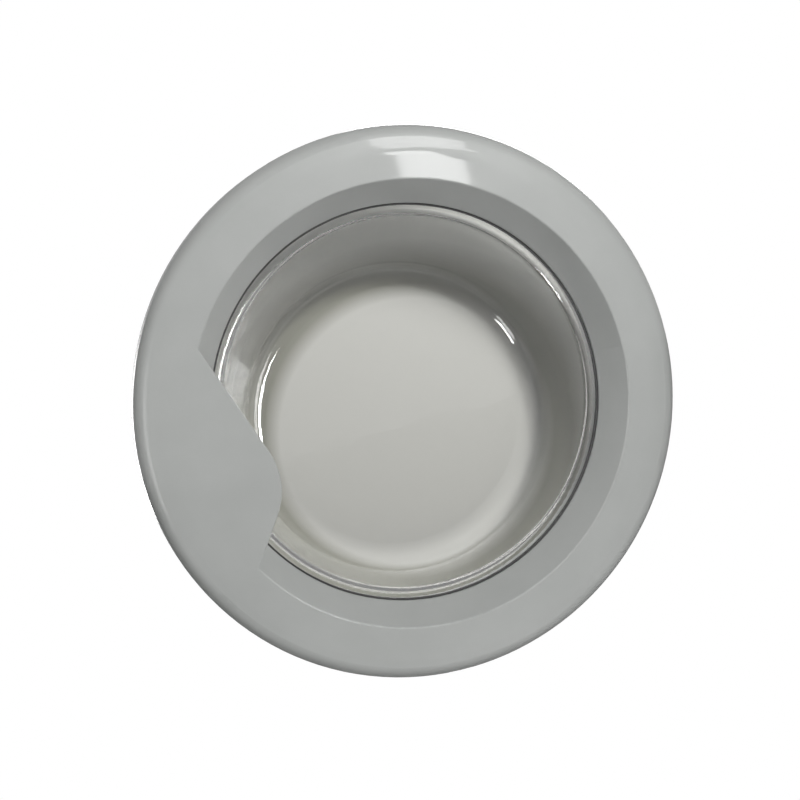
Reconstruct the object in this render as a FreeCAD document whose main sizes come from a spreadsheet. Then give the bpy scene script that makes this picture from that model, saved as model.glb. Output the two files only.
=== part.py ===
"""Washing machine door: moulded ring with a handle plate, glass bowl, latch and hinge.

Upright as it hangs on the machine: +Z is up, the front faces -Y, the handle is at -X and the hinge at +X.
The origin is the centre of the hinge plate's screw holes, on the cabinet's front plane.
The door's own pieces are drawn about the door's axis and placed by the hinge's offset from it.
"""

import FreeCAD, Part
import math
import os
import re

import Sketcher

Vector = FreeCAD.Vector
SMALLEST_CUT = 1e-6
LEVEL_WITHIN = 1e-4

# Driving dimensions in millimetres and degrees: name, value, meaning.
DIMENSIONS = [
    ("outer_radius", 220.0, "ring, outside"),
    ("fall_width", 20.0, "where the face starts to fall away, from the outside"),
    ("face_width", 43.0, "crease between face and bevel, from the outside"),
    ("bevel_width", 17.0, "lip at the foot of the bevel, from the crease"),
    ("front_depth", 41.0, "face, in front of the cabinet"),
    ("bevel_depth", 24.0, "lip, behind the face"),
    ("edge_drop", 3.0, "fall of the face at the outer edge"),
    ("edge_round", 12.0, "outer edge rounding"),
    ("face_round", 60.0, "bend where the face falls away"),
    ("crease_round", 2.0, "crease rounding"),
    ("lip_round", 0.8, "lip rounding"),
    ("lip_height", 2.5, "lip thickness at its tip"),
    ("lip_width", 6.0, "width of the lip's seat on the seal"),
    ("wall", 3.0, "outer frame wall"),
    ("skirt_gap", 6.0, "skirt to cabinet"),
    ("plate_half_angle", 30.2, "half of the ring that the handle plate spans"),
    ("plate_overlap", 1.5, "plate's ends past the crease"),
    ("plate_reach", 64.2, "crease to the corner of the plate's two edges"),
    ("plate_tip_drop", 29.0, "that corner, below the door's axis"),
    ("plate_tip_round", 55.0, "plate tip rounding"),
    ("plate_root", 13.0, "plate's back edge, outside the crease"),
    ("plate_root_half", 55.0, "half of the plate's back edge"),
    ("plate_edge_round", 1.2, "plate's free edge rounding"),
    ("window_half", 35.0, "half height of the lever's window in the bevel"),
    ("window_sill", 3.0, "bevel left standing under the window"),
    ("window_margin", 4.0, "window, past both sides of the bevel"),
    ("boss_inset", 26.0, "frame screws, from the outside"),
    ("boss_radius", 4.5, "screw boss, outside"),
    ("boss_hole_depth", 12.0, "screw boss, hole depth"),
    ("boss_start_angle", 22.5, "first frame screw"),
    ("boss_count", 8, "frame screws"),
    ("rib_thickness", 2.0, "stiffening rib"),
    ("rib_height", 14.0, "stiffening rib, from the middle of the face's wall"),
    ("rib_slack", 0.5, "stiffening rib's corner, rounder than the wall's middle"),
    ("screw_radius", 2.0, "screw shank"),
    ("screw_head_radius", 4.0, "screw head"),
    ("screw_head_height", 2.4, "screw head"),
    ("screw_length", 9.0, "screw, under the head"),
    ("screw_head_round", 1.0, "screw head rounding"),
    ("thread_clearance", 0.02, "screw in its boss"),
    ("hole_clearance", 0.2, "screw through a plate"),
    ("seal_thickness", 1.5, "glass seal"),
    ("seal_show", 1.6, "seal inside the lip, as seen from the front"),
    ("seal_bead", 1.3, "seal beside the lip"),
    ("seal_clearance", 0.1, "seal to lip"),
    ("glass_thickness", 5.0, "glass"),
    ("flange_margin", 11.0, "glass flange, past the lip"),
    ("mouth_inset", 8.0, "bowl's mouth, inside the lip"),
    ("bowl_depth", 71.0, "bowl, from the flange's front"),
    ("bottom_inset", 28.0, "bowl's bottom, smaller than its mouth"),
    ("bottom_drop", 20.0, "bowl's bottom, below the door's axis"),
    ("bowl_round", 20.0, "bowl's bottom edge, inside"),
    ("mouth_round", 8.0, "rolled rim of the bowl"),
    ("flange_round", 3.0, "flange to wall, behind"),
    ("inner_wall", 2.5, "inner frame wall"),
    ("inner_depth", 9.5, "inner frame's seat on the bosses, in front of the cabinet"),
    ("inner_clearance", 1.0, "inner frame to skirt"),
    ("inner_rim", 4.5, "inner frame's rims, forward"),
    ("glass_clearance", 0.8, "flange to the inner frame's rim"),
    ("collar_clearance", 3.0, "inner frame's collar to the bowl"),
    ("collar_height", 3.5, "inner frame's collar, behind the clamp"),
    ("clamp_margin", 4.0, "clamp step, outside the rim"),
    ("latch_inset", 26.0, "latch pin, from the outside"),
    ("latch_depth", 22.0, "latch pin, in front of the cabinet"),
    ("latch_pin_radius", 2.5, "latch pin"),
    ("pin_end", 3.0, "pins, past what holds them"),
    ("pin_head_height", 1.5, "pin heads"),
    ("pin_head_margin", 1.6, "pin heads, wider than the pin"),
    ("clip_thickness", 0.8, "pin clips"),
    ("clip_margin", 2.5, "pin clips, wider than the pin"),
    ("groove_depth", 0.6, "clip groove in a pin"),
    ("fixed_fit", 0.02, "pin in the piece that holds it"),
    ("running_fit", 0.05, "pin in the piece that turns on it"),
    ("lever_half", 33.0, "half length of the lever"),
    ("lever_hub_radius", 6.5, "lever hub"),
    ("lever_reach", 54.0, "pin to the lever's finger bead"),
    ("lever_thickness", 3.0, "lever paddle"),
    ("lever_corner", 10.0, "lever paddle corners"),
    ("bead_radius", 2.2, "finger bead"),
    ("notch_half", 21.5, "half of the gap between the lever's hubs"),
    ("notch_reach", 9.5, "gap between the lever's hubs, from the pin"),
    ("hook_hub_radius", 8.0, "hook hub"),
    ("hook_hub_half", 9.0, "half length of the hook hub"),
    ("hook_half", 5.0, "half thickness of the hook"),
    ("hook_half_width", 4.0, "half width of the hook's shank"),
    ("hook_length", 47.0, "pin to the hook's end"),
    ("nose_reach", 12.0, "pin line to the hook's nose"),
    ("nose_length", 13.0, "hook's nose, along the shank"),
    ("nose_face", 4.0, "hook's nose, blunt length"),
    ("nose_round", 1.5, "hook's nose rounding"),
    ("heel_reach", 16.0, "hook's heel, in front of the lever"),
    ("heel_gap", 0.4, "heel to lever"),
    ("wire_radius", 0.7, "spring wire"),
    ("wire_cover", 0.2, "spring coil, past both sides of the wire's line"),
    ("spring_play", 0.5, "spring coil to pin, and to its neighbours"),
    ("spring_arm", 9.0, "spring arm along the shank"),
    ("spring_leg", 14.0, "spring arm on the lever"),
    ("spring_tail", 9.3, "spring tail towards the carrier"),
    ("carrier_thickness", 2.5, "carrier sheet"),
    ("carrier_gap", 2.5, "carrier web to the hook's hub, and cheeks to the lever"),
    ("carrier_front", 8.5, "carrier, in front of the pin"),
    ("carrier_rear", 8.0, "carrier, behind the pin"),
    ("carrier_width", 9.0, "carrier cheek, past the pin"),
    ("carrier_round", 5.0, "carrier corners"),
    ("ear_length", 20.0, "carrier ear, past the cheek"),
    ("ear_half_width", 10.0, "half width of a carrier ear"),
    ("slot_ahead", 2.0, "hook slot, past the nose"),
    ("slot_behind", 6.0, "hook slot, past the shank"),
    ("slot_play", 2.0, "hook slot, beside the hook"),
    ("mount_reach", 27.0, "hinge plate's hole pattern, from the hinge pin towards the glass"),
    ("mount_across", 15.0, "hinge plate's holes, across"),
    ("mount_along", 92.0, "hinge plate's holes, up and down"),
    ("mount_hole_radius", 2.75, "hinge plate's holes"),
    ("base_left", 14.0, "hinge plate, from the holes' centre towards the glass"),
    ("base_right", 12.0, "hinge plate, from the holes' centre towards the hinge"),
    ("base_half", 58.0, "half height of the hinge plate"),
    ("base_thickness", 3.0, "hinge plate"),
    ("base_corner", 6.0, "hinge plate corners"),
    ("hinge_inset", 8.0, "hinge pin, inside the ring's edge"),
    ("hinge_depth", 20.0, "hinge pin, in front of the cabinet"),
    ("hinge_pin_radius", 4.0, "hinge pin"),
    ("eye_radius", 6.5, "eyes of the arms"),
    ("arm_inner", 30.0, "arms, from the middle"),
    ("arm_thickness", 5.0, "arms"),
    ("arm_root", 14.0, "arms, width at the plate"),
    ("barrel_gap", 2.5, "leaf's barrel to the arms"),
    ("barrel_radius", 6.5, "leaf's barrel"),
    ("bush_radius", 5.5, "hinge bush, outside"),
    ("bush_length", 12.0, "hinge bush, in the barrel"),
    ("bush_play", 0.3, "bush flange to arm"),
    ("leaf_thickness", 3.0, "hinge leaf"),
    ("leaf_reach", 39.0, "hinge leaf's edge, from the hinge pin towards the glass"),
    ("leaf_wide", 17.0, "hinge leaf's wide part"),
    ("leaf_half", 44.0, "half height of the hinge leaf"),
    ("leaf_corner", 5.0, "hinge leaf corners"),
    ("leaf_screw_x", 8.0, "outer leaf screws, from the leaf's edge"),
    ("leaf_screw_z", 34.0, "outer leaf screws, from the middle"),
    ("leaf_near_x", 23.0, "inner leaf screws, from the leaf's edge"),
    ("leaf_near_z", 14.0, "inner leaf screws, from the middle"),
    ("hinge_window_half", 40.0, "half height of the hinge's window in the skirt"),
    ("hinge_window_front", 7.0, "that window, in front of the hinge pin"),
    ("hinge_window_reach", 26.0, "that window, from the hinge pin towards the glass"),
]
NAMES = {name for name, value, meaning in DIMENSIONS}

# Radii, lengths and places that follow from the driving dimensions.
FOLLOWING = {
    "flat_radius": "outer_radius - fall_width",
    "crease_radius": "outer_radius - face_width",
    "opening_radius": "crease_radius - bevel_width",
    "boss_circle": "outer_radius - boss_inset",
    "flange_radius": "opening_radius + flange_margin",
    "mouth_radius": "opening_radius - mouth_inset",
    "bottom_radius": "mouth_radius - bottom_inset",
    "collar_radius": "mouth_radius + glass_thickness + collar_clearance",
    "latch_x": "outer_radius - latch_inset",
    "hinge_x": "outer_radius - hinge_inset",
    "mount_x": "hinge_x - mount_reach",
    "leaf_left": "hinge_x - leaf_reach",
    "barrel_half": "arm_inner - barrel_gap",
}

# Places along Y that several pieces share, each written in the sizes above.
FACE = "-front_depth"
FACE_BACK = "-front_depth + wall"
LIP = "-front_depth + bevel_depth"
SEAL_FRONT = f"{LIP} + lip_height"
GLASS_FRONT = f"{SEAL_FRONT} + seal_thickness"
GLASS_BACK = f"{GLASS_FRONT} + glass_thickness"
LEAF_FRONT = "-hinge_depth - leaf_thickness / 2"
CHEEK = "lever_half + carrier_gap"
EAR_FRONT = "-latch_depth - carrier_front"

doc = FreeCAD.newDocument("washing_machine_door")
sheet = doc.addObject("Spreadsheet::Sheet", "dims")
for row, (name, value, meaning) in enumerate(DIMENSIONS, start=1):
    sheet.set(f"A{row}", meaning)
    sheet.set(f"B{row}", str(value))
    sheet.setAlias(f"B{row}", name)
doc.recompute()


def formula(text):
    """The expression for a formula in which sizes stand by their names."""

    def cell(word):
        name = word.group()
        if name in FOLLOWING:
            return f"({formula(FOLLOWING[name])})"
        return f"dims.{name}" if name in NAMES else name

    return re.sub(r"[a-z_]+", cell, text)


def bind(thing, path, text):
    """Ties a property to a formula."""
    thing.setExpression(path, formula(text))


def number(text):
    """The present value of a formula."""
    return float(sheet.evalExpression(formula(text)))


def place(thing, x="0", y="0", z="0"):
    """Places a sub-part that is drawn about the door's axis."""
    bind(thing, "Placement.Base.x", f"{x} - mount_x")
    bind(thing, "Placement.Base.y", y)
    bind(thing, "Placement.Base.z", z)


def new_body(label):
    """An empty body for one sub-part."""
    body = doc.addObject("PartDesign::Body", label)
    body.Label = label
    return body


def origin_feature(body, role):
    """One of the body's own origin planes or axes."""
    return next(f for f in body.Origin.OriginFeatures if f.Role == role)


def new_sketch(body, name, role, offset="0", turn="0", about=Vector(0, 0, 1)):
    """A sketch on an origin plane, moved along the plane's normal and turned about it or another axis."""
    sketch = body.newObject("Sketcher::SketchObject", name)
    sketch.AttachmentSupport = [(origin_feature(body, role), "")]
    sketch.MapMode = "FlatFace"
    sketch.AttachmentOffset = FreeCAD.Placement(Vector(), FreeCAD.Rotation(about, number(turn)))
    bind(sketch, "AttachmentOffset.Base.z", offset)
    bind(sketch, "AttachmentOffset.Rotation.Angle", turn)
    return sketch


def fix_point(sketch, geometry, end, x, y):
    """Holds a point of the sketch at two formulas from the sketch's origin."""
    for kind, text in (("DistanceX", x), ("DistanceY", y)):
        index = sketch.addConstraint(Sketcher.Constraint(kind, -1, 1, geometry, end, number(text)))
        bind(sketch, f"Constraints[{index}]", text)


def add_circle(sketch, x, y, radius):
    """A circle of the sketch, its centre and radius given as formulas."""
    centre = Vector(number(x), number(y), 0)
    index = sketch.addGeometry(Part.Circle(centre, Vector(0, 0, 1), number(radius)), False)
    fix_point(sketch, index, 3, x, y)
    size = sketch.addConstraint(Sketcher.Constraint("Radius", index, number(radius)))
    bind(sketch, f"Constraints[{size}]", radius)


def corner_arc(before, corner, after, radius):
    """Where a rounding leaves its two sides, its centre, and whether it turns to the left."""
    back = (before - corner).normalize()
    ahead = (after - corner).normalize()
    half = back.getAngle(ahead) / 2
    run = radius / math.tan(half)
    centre = corner + (back + ahead).normalize() * (radius / math.sin(half))
    return corner + back * run, corner + ahead * run, centre, back.cross(ahead).z < 0


def add_outline(sketch, corners):
    """A closed outline through corners given as formulas (x, y) or (x, y, rounding)."""
    points = [Vector(number(c[0]), number(c[1]), 0) for c in corners]
    count = len(corners)
    arrive, leave, arcs = list(points), list(points), {}
    for i, corner in enumerate(corners):
        if len(corner) == 3:
            arcs[i] = corner_arc(points[i - 1], points[i], points[(i + 1) % count], number(corner[2]))
            arrive[i], leave[i] = arcs[i][:2]
    lines = [
        sketch.addGeometry(Part.LineSegment(leave[i], arrive[(i + 1) % count]), False)
        for i in range(count)
    ]
    for i, corner in enumerate(corners):
        line_in, line_out = lines[i - 1], lines[i]
        if i not in arcs:
            sketch.addConstraint(Sketcher.Constraint("Coincident", line_in, 2, line_out, 1))
            fix_point(sketch, line_out, 1, corner[0], corner[1])
            continue
        mark = sketch.addGeometry(Part.Point(points[i]), True)
        fix_point(sketch, mark, 1, corner[0], corner[1])
        sketch.addConstraint(Sketcher.Constraint("PointOnObject", mark, 1, line_in))
        sketch.addConstraint(Sketcher.Constraint("PointOnObject", mark, 1, line_out))
        first, last, centre, left = arcs[i]
        begin, end = (first, last) if left else (last, first)
        circle = Part.Circle(centre, Vector(0, 0, 1), number(corner[2]))
        angles = [math.atan2((p - centre).y, (p - centre).x) for p in (begin, end)]
        arc = sketch.addGeometry(Part.ArcOfCircle(circle, *angles), False)
        ends = (1, 2) if left else (2, 1)
        sketch.addConstraint(Sketcher.Constraint("Tangent", line_in, 2, arc, ends[0]))
        sketch.addConstraint(Sketcher.Constraint("Tangent", arc, ends[1], line_out, 1))
        size = sketch.addConstraint(Sketcher.Constraint("Radius", arc, number(corner[2])))
        bind(sketch, f"Constraints[{size}]", corner[2])


def rectangle(left, right, low, high, *rounding):
    """The corners of an upright rectangle."""
    return [(x, y, *rounding) for x, y in ((left, low), (right, low), (right, high), (left, high))]


def extrude(kind, sketch, name, length, symmetric=False, reverse=False):
    """A pad or pocket of a sketch."""
    body = sketch.getParentGeoFeatureGroup()
    feature = body.newObject(f"PartDesign::{kind}", name)
    feature.Profile = sketch
    feature.SideType = "Symmetric" if symmetric else "One side"
    feature.Reversed = reverse
    bind(feature, "Length", length)
    doc.recompute()
    return feature


def cut(sketch, name, length, symmetric=False, reverse=False):
    """A pocket that has to take material away."""
    body = sketch.getParentGeoFeatureGroup()
    before = body.Shape.Volume
    feature = extrude("Pocket", sketch, name, length, symmetric, reverse)
    if body.Shape.Volume > before - SMALLEST_CUT:
        raise ValueError(f"{name} cuts nothing")
    return feature


def revolve(sketch, name):
    """A full turn of a sketch about its vertical axis."""
    body = sketch.getParentGeoFeatureGroup()
    feature = body.newObject("PartDesign::Revolution", name)
    feature.Profile = sketch
    feature.ReferenceAxis = (sketch, ["V_Axis"])
    feature.Angle = 360
    doc.recompute()
    return feature


def round_edges(body, name, radius, wanted):
    """Rounds the body's edges that the test picks."""
    base = body.Tip
    edges = [f"Edge{i}" for i, edge in enumerate(base.Shape.Edges, start=1) if wanted(edge)]
    if not edges:
        raise ValueError(f"{name} finds no edge")
    feature = body.newObject("PartDesign::Fillet", name)
    feature.Base = (base, edges)
    bind(feature, "Radius", radius)
    doc.recompute()
    return feature


def mirrored(body, name, features):
    """Repeats features on the other side of the horizontal middle plane."""
    feature = body.newObject("PartDesign::Mirrored", name)
    feature.Originals = features
    feature.MirrorPlane = (origin_feature(body, "XY_Plane"), [""])
    body.Tip = feature
    doc.recompute()
    return feature


def turned(label, corners, role="XZ_Plane"):
    """A body turned about its vertical sketch axis: Z on the XZ plane, Y on the XY plane."""
    body = new_body(label)
    sketch = new_sketch(body, f"{label}_profile", role)
    add_outline(sketch, corners)
    revolve(sketch, f"{label}_turn")
    return body


def level(edge, text):
    """Whether an edge lies in the plane across Y at a formula's place."""
    return all(abs(v.Y - number(text)) < LEVEL_WITHIN for v in edge.Vertexes)


def make_outer_frame():
    """The moulded ring with skirt, bevel, handle plate, screw bosses and windows."""
    body = new_body("outer_frame")
    plate = new_sketch(body, "plate_outline", "XZ_Plane", "front_depth")
    end_x = "-(crease_radius + plate_overlap) * cos(plate_half_angle)"
    end_z = "(crease_radius + plate_overlap) * sin(plate_half_angle)"
    back_x = "-crease_radius - plate_root"
    add_outline(
        plate,
        [
            (end_x, end_z),
            (back_x, "plate_root_half"),
            (back_x, "-plate_root_half"),
            (end_x, f"-{end_z}"),
            ("-crease_radius + plate_reach", "-plate_tip_drop", "plate_tip_round"),
        ],
    )
    extrude("Pad", plate, "handle_plate", "wall", reverse=True)
    crease = number("crease_radius")

    def free_edge(edge):
        middle = edge.CenterOfMass
        return level(edge, FACE) and math.hypot(middle.x, middle.z) < crease

    round_edges(body, "plate_edge", "plate_edge_round", free_edge)

    ring = new_sketch(body, "ring_profile", "XY_Plane")
    add_outline(
        ring,
        [
            ("opening_radius", LIP, "lip_round"),
            ("opening_radius", SEAL_FRONT),
            ("opening_radius + lip_width", SEAL_FRONT),
            ("crease_radius + wall / 2", FACE_BACK),
            ("flat_radius", FACE_BACK, "face_round - wall"),
            ("outer_radius - wall", f"{FACE_BACK} + edge_drop", "edge_round - wall"),
            ("outer_radius - wall", "-skirt_gap"),
            ("outer_radius", "-skirt_gap"),
            ("outer_radius", f"{FACE} + edge_drop", "edge_round"),
            ("flat_radius", FACE, "face_round"),
            ("crease_radius", FACE, "crease_round"),
        ],
    )
    revolve(ring, "ring")

    window = new_sketch(body, "lever_window", "XY_Plane")
    add_outline(
        window,
        rectangle(
            "-crease_radius - wall / 2 - window_margin",
            "-opening_radius + window_margin",
            FACE_BACK,
            f"{LIP} - window_sill",
        ),
    )
    cut(window, "lever_window_cut", "2 * window_half", symmetric=True)

    inside_face = "front_depth - wall / 2"
    boss = new_sketch(body, "boss_outline", "XZ_Plane", inside_face, "boss_start_angle")
    add_circle(boss, "boss_circle", "0", "boss_radius")
    boss_pad = extrude("Pad", boss, "boss", f"{inside_face} - inner_depth", reverse=True)
    rib = new_sketch(body, "rib_outline", "XY_Plane", turn="boss_start_angle", about=Vector(0, 1, 0))
    root, middle = "crease_radius + wall / 4", f"{FACE} + wall / 2"
    bevel_run = "rib_height * (crease_radius - opening_radius) / bevel_depth"
    add_outline(
        rib,
        [
            (root, middle),
            (f"{root} - {bevel_run}", f"{middle} + rib_height"),
            ("outer_radius - wall / 2", f"{middle} + rib_height"),
            ("outer_radius - wall / 2", f"{middle} + edge_drop", "edge_round - wall / 2 - rib_slack"),
            ("flat_radius", middle),
        ],
    )
    rib_pad = extrude("Pad", rib, "rib", "rib_thickness", symmetric=True)
    hole = new_sketch(body, "boss_hole_outline", "XZ_Plane", "inner_depth", "boss_start_angle")
    add_circle(hole, "boss_circle", "0", "screw_radius + thread_clearance")
    boss_hole = cut(hole, "boss_hole", "boss_hole_depth", reverse=True)
    pattern = body.newObject("PartDesign::PolarPattern", "bosses")
    pattern.Originals = [boss_pad, rib_pad, boss_hole]
    pattern.Axis = (origin_feature(body, "Y_Axis"), [""])
    pattern.Angle = 360
    bind(pattern, "Occurrences", "boss_count")
    body.Tip = pattern
    doc.recompute()

    add_posts(body, "latch_post", carrier_screw_places()[:1], EAR_FRONT)
    add_posts(body, "hinge_post", leaf_screw_places()[:2], LEAF_FRONT)

    skirt = new_sketch(body, "hinge_window", "XY_Plane")
    add_outline(
        skirt,
        rectangle(
            "hinge_x - wall",
            "outer_radius + wall",
            "-hinge_depth - hinge_window_front",
            "0",
        ),
    )
    cut(skirt, "hinge_window_cut", "2 * hinge_window_half", symmetric=True)
    place(body)


def add_posts(body, name, places, end):
    """Screw posts behind the face, with their holes, at places above the middle and mirrored below it."""
    inside_face = "front_depth - wall / 2"
    post = new_sketch(body, f"{name}_outline", "XZ_Plane", inside_face)
    hole = new_sketch(body, f"{name}_hole_outline", "XZ_Plane", f"-({end})")
    for x, z in places:
        add_circle(post, x, z, "boss_radius")
        add_circle(hole, x, z, "screw_radius + thread_clearance")
    post_pad = extrude("Pad", post, name, f"{inside_face} + {end}", reverse=True)
    post_hole = cut(hole, f"{name}_hole", f"{inside_face} + {end} - wall / 2", reverse=True)
    mirrored(body, f"{name}s", [post_pad, post_hole])


def carrier_screw_places():
    """The carrier's screws, across the door's axis."""
    z = f"{CHEEK} + carrier_thickness + ear_length / 2"
    return [("-latch_x", z), ("-latch_x", f"-({z})")]


def leaf_screw_places():
    """The hinge leaf's screws, across the door's axis."""
    far, near = "leaf_left + leaf_screw_x", "leaf_left + leaf_near_x"
    return [(far, "leaf_screw_z"), (near, "leaf_near_z"), (far, "-leaf_screw_z"), (near, "-leaf_near_z")]


def frame_screw_places():
    """The frame screws, evenly round the door's axis."""
    turns = [f"boss_start_angle + {i} * 360 / boss_count" for i in range(round(number("boss_count")))]
    return [(f"boss_circle * cos({turn})", f"boss_circle * sin({turn})") for turn in turns]


def make_inner_frame():
    """The rear ring: clamp for the glass, rims, screw holes, hook slot and hinge opening."""
    body = new_body("inner_frame")
    profile = new_sketch(body, "inner_profile", "XY_Plane")
    rim = "flange_radius + glass_clearance"
    edge = "outer_radius - wall - inner_clearance"
    seat = "-inner_depth"
    add_outline(
        profile,
        [
            ("collar_radius", GLASS_BACK),
            (rim, GLASS_BACK),
            (rim, f"{seat} - inner_rim"),
            (f"{rim} + inner_wall", f"{seat} - inner_rim"),
            (f"{rim} + inner_wall", seat),
            (f"{edge} - inner_wall", seat),
            (f"{edge} - inner_wall", f"{seat} - inner_rim"),
            (edge, f"{seat} - inner_rim"),
            (edge, f"{seat} + inner_wall", "inner_wall / 2"),
            (f"{rim} + inner_wall + clamp_margin", f"{seat} + inner_wall"),
            (f"{rim} + inner_wall", f"{GLASS_BACK} + inner_wall"),
            ("collar_radius + inner_wall", f"{GLASS_BACK} + inner_wall"),
            ("collar_radius + inner_wall", f"{GLASS_BACK} + inner_wall + collar_height"),
            ("collar_radius", f"{GLASS_BACK} + inner_wall + collar_height"),
        ],
    )
    revolve(profile, "inner_ring")

    holes = new_sketch(body, "frame_screw_holes", "XZ_Plane", "inner_depth + inner_wall")
    for x, z in frame_screw_places():
        add_circle(holes, x, z, "screw_radius + hole_clearance")
    cut(holes, "frame_screw_holes_cut", "3 * inner_wall")

    slot = new_sketch(body, "hook_slot", "XZ_Plane", "inner_depth + inner_wall")
    add_outline(
        slot,
        rectangle(
            "-latch_x - nose_reach - slot_ahead",
            "-latch_x + hook_half_width + slot_behind",
            "-hook_half - slot_play",
            "hook_half + slot_play",
            "slot_play",
        ),
    )
    cut(slot, "hook_slot_cut", "3 * inner_wall")

    opening = new_sketch(body, "hinge_opening", "XZ_Plane", "inner_depth + 3 * inner_rim")
    add_outline(
        opening,
        rectangle(
            "hinge_x - hinge_window_reach",
            "outer_radius",
            "-hinge_window_half",
            "hinge_window_half",
        ),
    )
    cut(opening, "hinge_opening_cut", "inner_depth + 3 * inner_rim")
    place(body)


def make_glass_seal():
    """The dark ring between lip and glass."""
    body = turned(
        "glass_seal",
        [
            ("opening_radius - seal_show", GLASS_FRONT),
            ("opening_radius - seal_show", f"{SEAL_FRONT} - seal_bead"),
            ("opening_radius - seal_clearance", f"{SEAL_FRONT} - seal_bead"),
            ("opening_radius - seal_clearance", SEAL_FRONT),
            ("flange_radius", SEAL_FRONT),
            ("flange_radius", GLASS_FRONT),
        ],
        "XY_Plane",
    )
    place(body)


def loft(body, kind, name, sections):
    """A loft through circles given as (place along Y, drop, radius)."""
    sketches = []
    for i, (y, drop, radius) in enumerate(sections):
        sketch = new_sketch(body, f"{name}_section_{i}", "XZ_Plane", f"-({y})")
        add_circle(sketch, "0", f"-({drop})", radius)
        sketches.append(sketch)
    doc.recompute()
    feature = body.newObject(f"PartDesign::{kind}", name)
    feature.Profile = sketches[0]
    feature.Sections = sketches[1:]
    doc.recompute()
    return feature


def make_glass_bowl():
    """The pressed bowl: flange, wall that slopes more above than below, and flat bottom."""
    body = new_body("glass_bowl")
    flange = new_sketch(body, "flange_profile", "XY_Plane")
    add_outline(flange, rectangle("0", "flange_radius", GLASS_FRONT, GLASS_BACK))
    revolve(flange, "flange")
    bottom = f"{GLASS_FRONT} + bowl_depth"
    loft(
        body,
        "AdditiveLoft",
        "bowl_outside",
        [
            (GLASS_FRONT, "0", "mouth_radius + glass_thickness"),
            (f"{bottom} + glass_thickness", "bottom_drop", "bottom_radius + glass_thickness"),
        ],
    )
    loft(
        body,
        "SubtractiveLoft",
        "bowl_inside",
        [(GLASS_FRONT, "0", "mouth_radius"), (bottom, "bottom_drop", "bottom_radius")],
    )
    round_edges(body, "bottom_inside", "bowl_round", lambda edge: level(edge, bottom))
    round_edges(
        body,
        "bottom_outside",
        "bowl_round + glass_thickness",
        lambda edge: level(edge, f"{bottom} + glass_thickness"),
    )
    flange_inside = number("flange_radius - flange_margin / 2")

    def round_at(text):
        """Picks the edge in a plane across Y that isn't the flange's own rim."""
        return lambda edge: level(edge, text) and edge.BoundBox.XMax < flange_inside

    round_edges(body, "mouth", "mouth_round", round_at(GLASS_FRONT))
    round_edges(body, "flange_foot", "flange_round", round_at(GLASS_BACK))
    place(body)


def make_release_lever():
    """The paddle behind the handle plate, with a finger bead and two hubs on the latch pin."""
    body = new_body("release_lever")
    hub = new_sketch(body, "lever_hub_outline", "XY_Plane")
    add_circle(hub, "0", "0", "lever_hub_radius")
    extrude("Pad", hub, "lever_hub", "2 * lever_half", symmetric=True)
    paddle = new_sketch(body, "paddle_outline", "XZ_Plane")
    add_outline(
        paddle,
        [
            ("0", "-lever_half"),
            ("lever_reach", "-lever_half", "lever_corner"),
            ("lever_reach", "lever_half", "lever_corner"),
            ("0", "lever_half"),
        ],
    )
    extrude("Pad", paddle, "paddle", "lever_thickness")
    bead = new_sketch(body, "bead_outline", "XY_Plane")
    add_circle(bead, "lever_reach", "-lever_thickness / 2", "bead_radius")
    extrude("Pad", bead, "finger_bead", "2 * (lever_half - lever_corner)", symmetric=True)
    bore = new_sketch(body, "lever_bore_outline", "XY_Plane")
    add_circle(bore, "0", "0", "latch_pin_radius + running_fit")
    cut(bore, "lever_bore", "2 * lever_half", symmetric=True)
    notch = new_sketch(body, "lever_notch_outline", "XZ_Plane")
    add_outline(notch, rectangle("-2 * lever_hub_radius", "notch_reach", "-notch_half", "notch_half"))
    cut(notch, "lever_notch", "4 * lever_hub_radius", symmetric=True)
    place(body, "-latch_x", "-latch_depth")


def make_latch_hook():
    """The hook: hub on the latch pin, shank to the rear, nose outwards, heel before the lever."""
    body = new_body("latch_hook")
    hub = new_sketch(body, "hook_hub_outline", "XY_Plane")
    add_circle(hub, "0", "0", "hook_hub_radius")
    extrude("Pad", hub, "hook_hub", "2 * hook_hub_half", symmetric=True)
    shank = new_sketch(body, "shank_outline", "XY_Plane")
    nose = "hook_length - nose_length"
    add_outline(
        shank,
        [
            ("-hook_half_width", "0"),
            ("hook_half_width", "0"),
            ("hook_half_width", "hook_length", "2 * nose_round"),
            ("-hook_half_width / 2", "hook_length", "2 * nose_round"),
            ("-nose_reach", f"{nose} + nose_face", "nose_round"),
            ("-nose_reach", nose, "nose_round"),
            ("-hook_half_width", nose, "nose_round"),
        ],
    )
    extrude("Pad", shank, "shank", "2 * hook_half", symmetric=True)
    heel = new_sketch(body, "heel_outline", "XY_Plane")
    add_outline(
        heel,
        rectangle("0", "heel_reach", "-hook_hub_radius", "-lever_thickness - heel_gap"),
    )
    extrude("Pad", heel, "heel", "2 * hook_half", symmetric=True)
    bore = new_sketch(body, "hook_bore_outline", "XY_Plane")
    add_circle(bore, "0", "0", "latch_pin_radius + running_fit")
    cut(bore, "hook_bore", "2 * hook_hub_half", symmetric=True)
    place(body, "-latch_x", "-latch_depth")


def wire(name, length, x, y, z, direction):
    """A straight piece of spring wire from a point, drawn about the latch pin."""
    piece = doc.addObject("Part::Cylinder", name)
    bind(piece, "Radius", "wire_radius")
    bind(piece, "Height", length)
    piece.Placement.Rotation = FreeCAD.Rotation(Vector(0, 0, 1), direction)
    bind(piece, "Placement.Base.x", x)
    bind(piece, "Placement.Base.y", y)
    bind(piece, "Placement.Base.z", z)
    return piece


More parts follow.
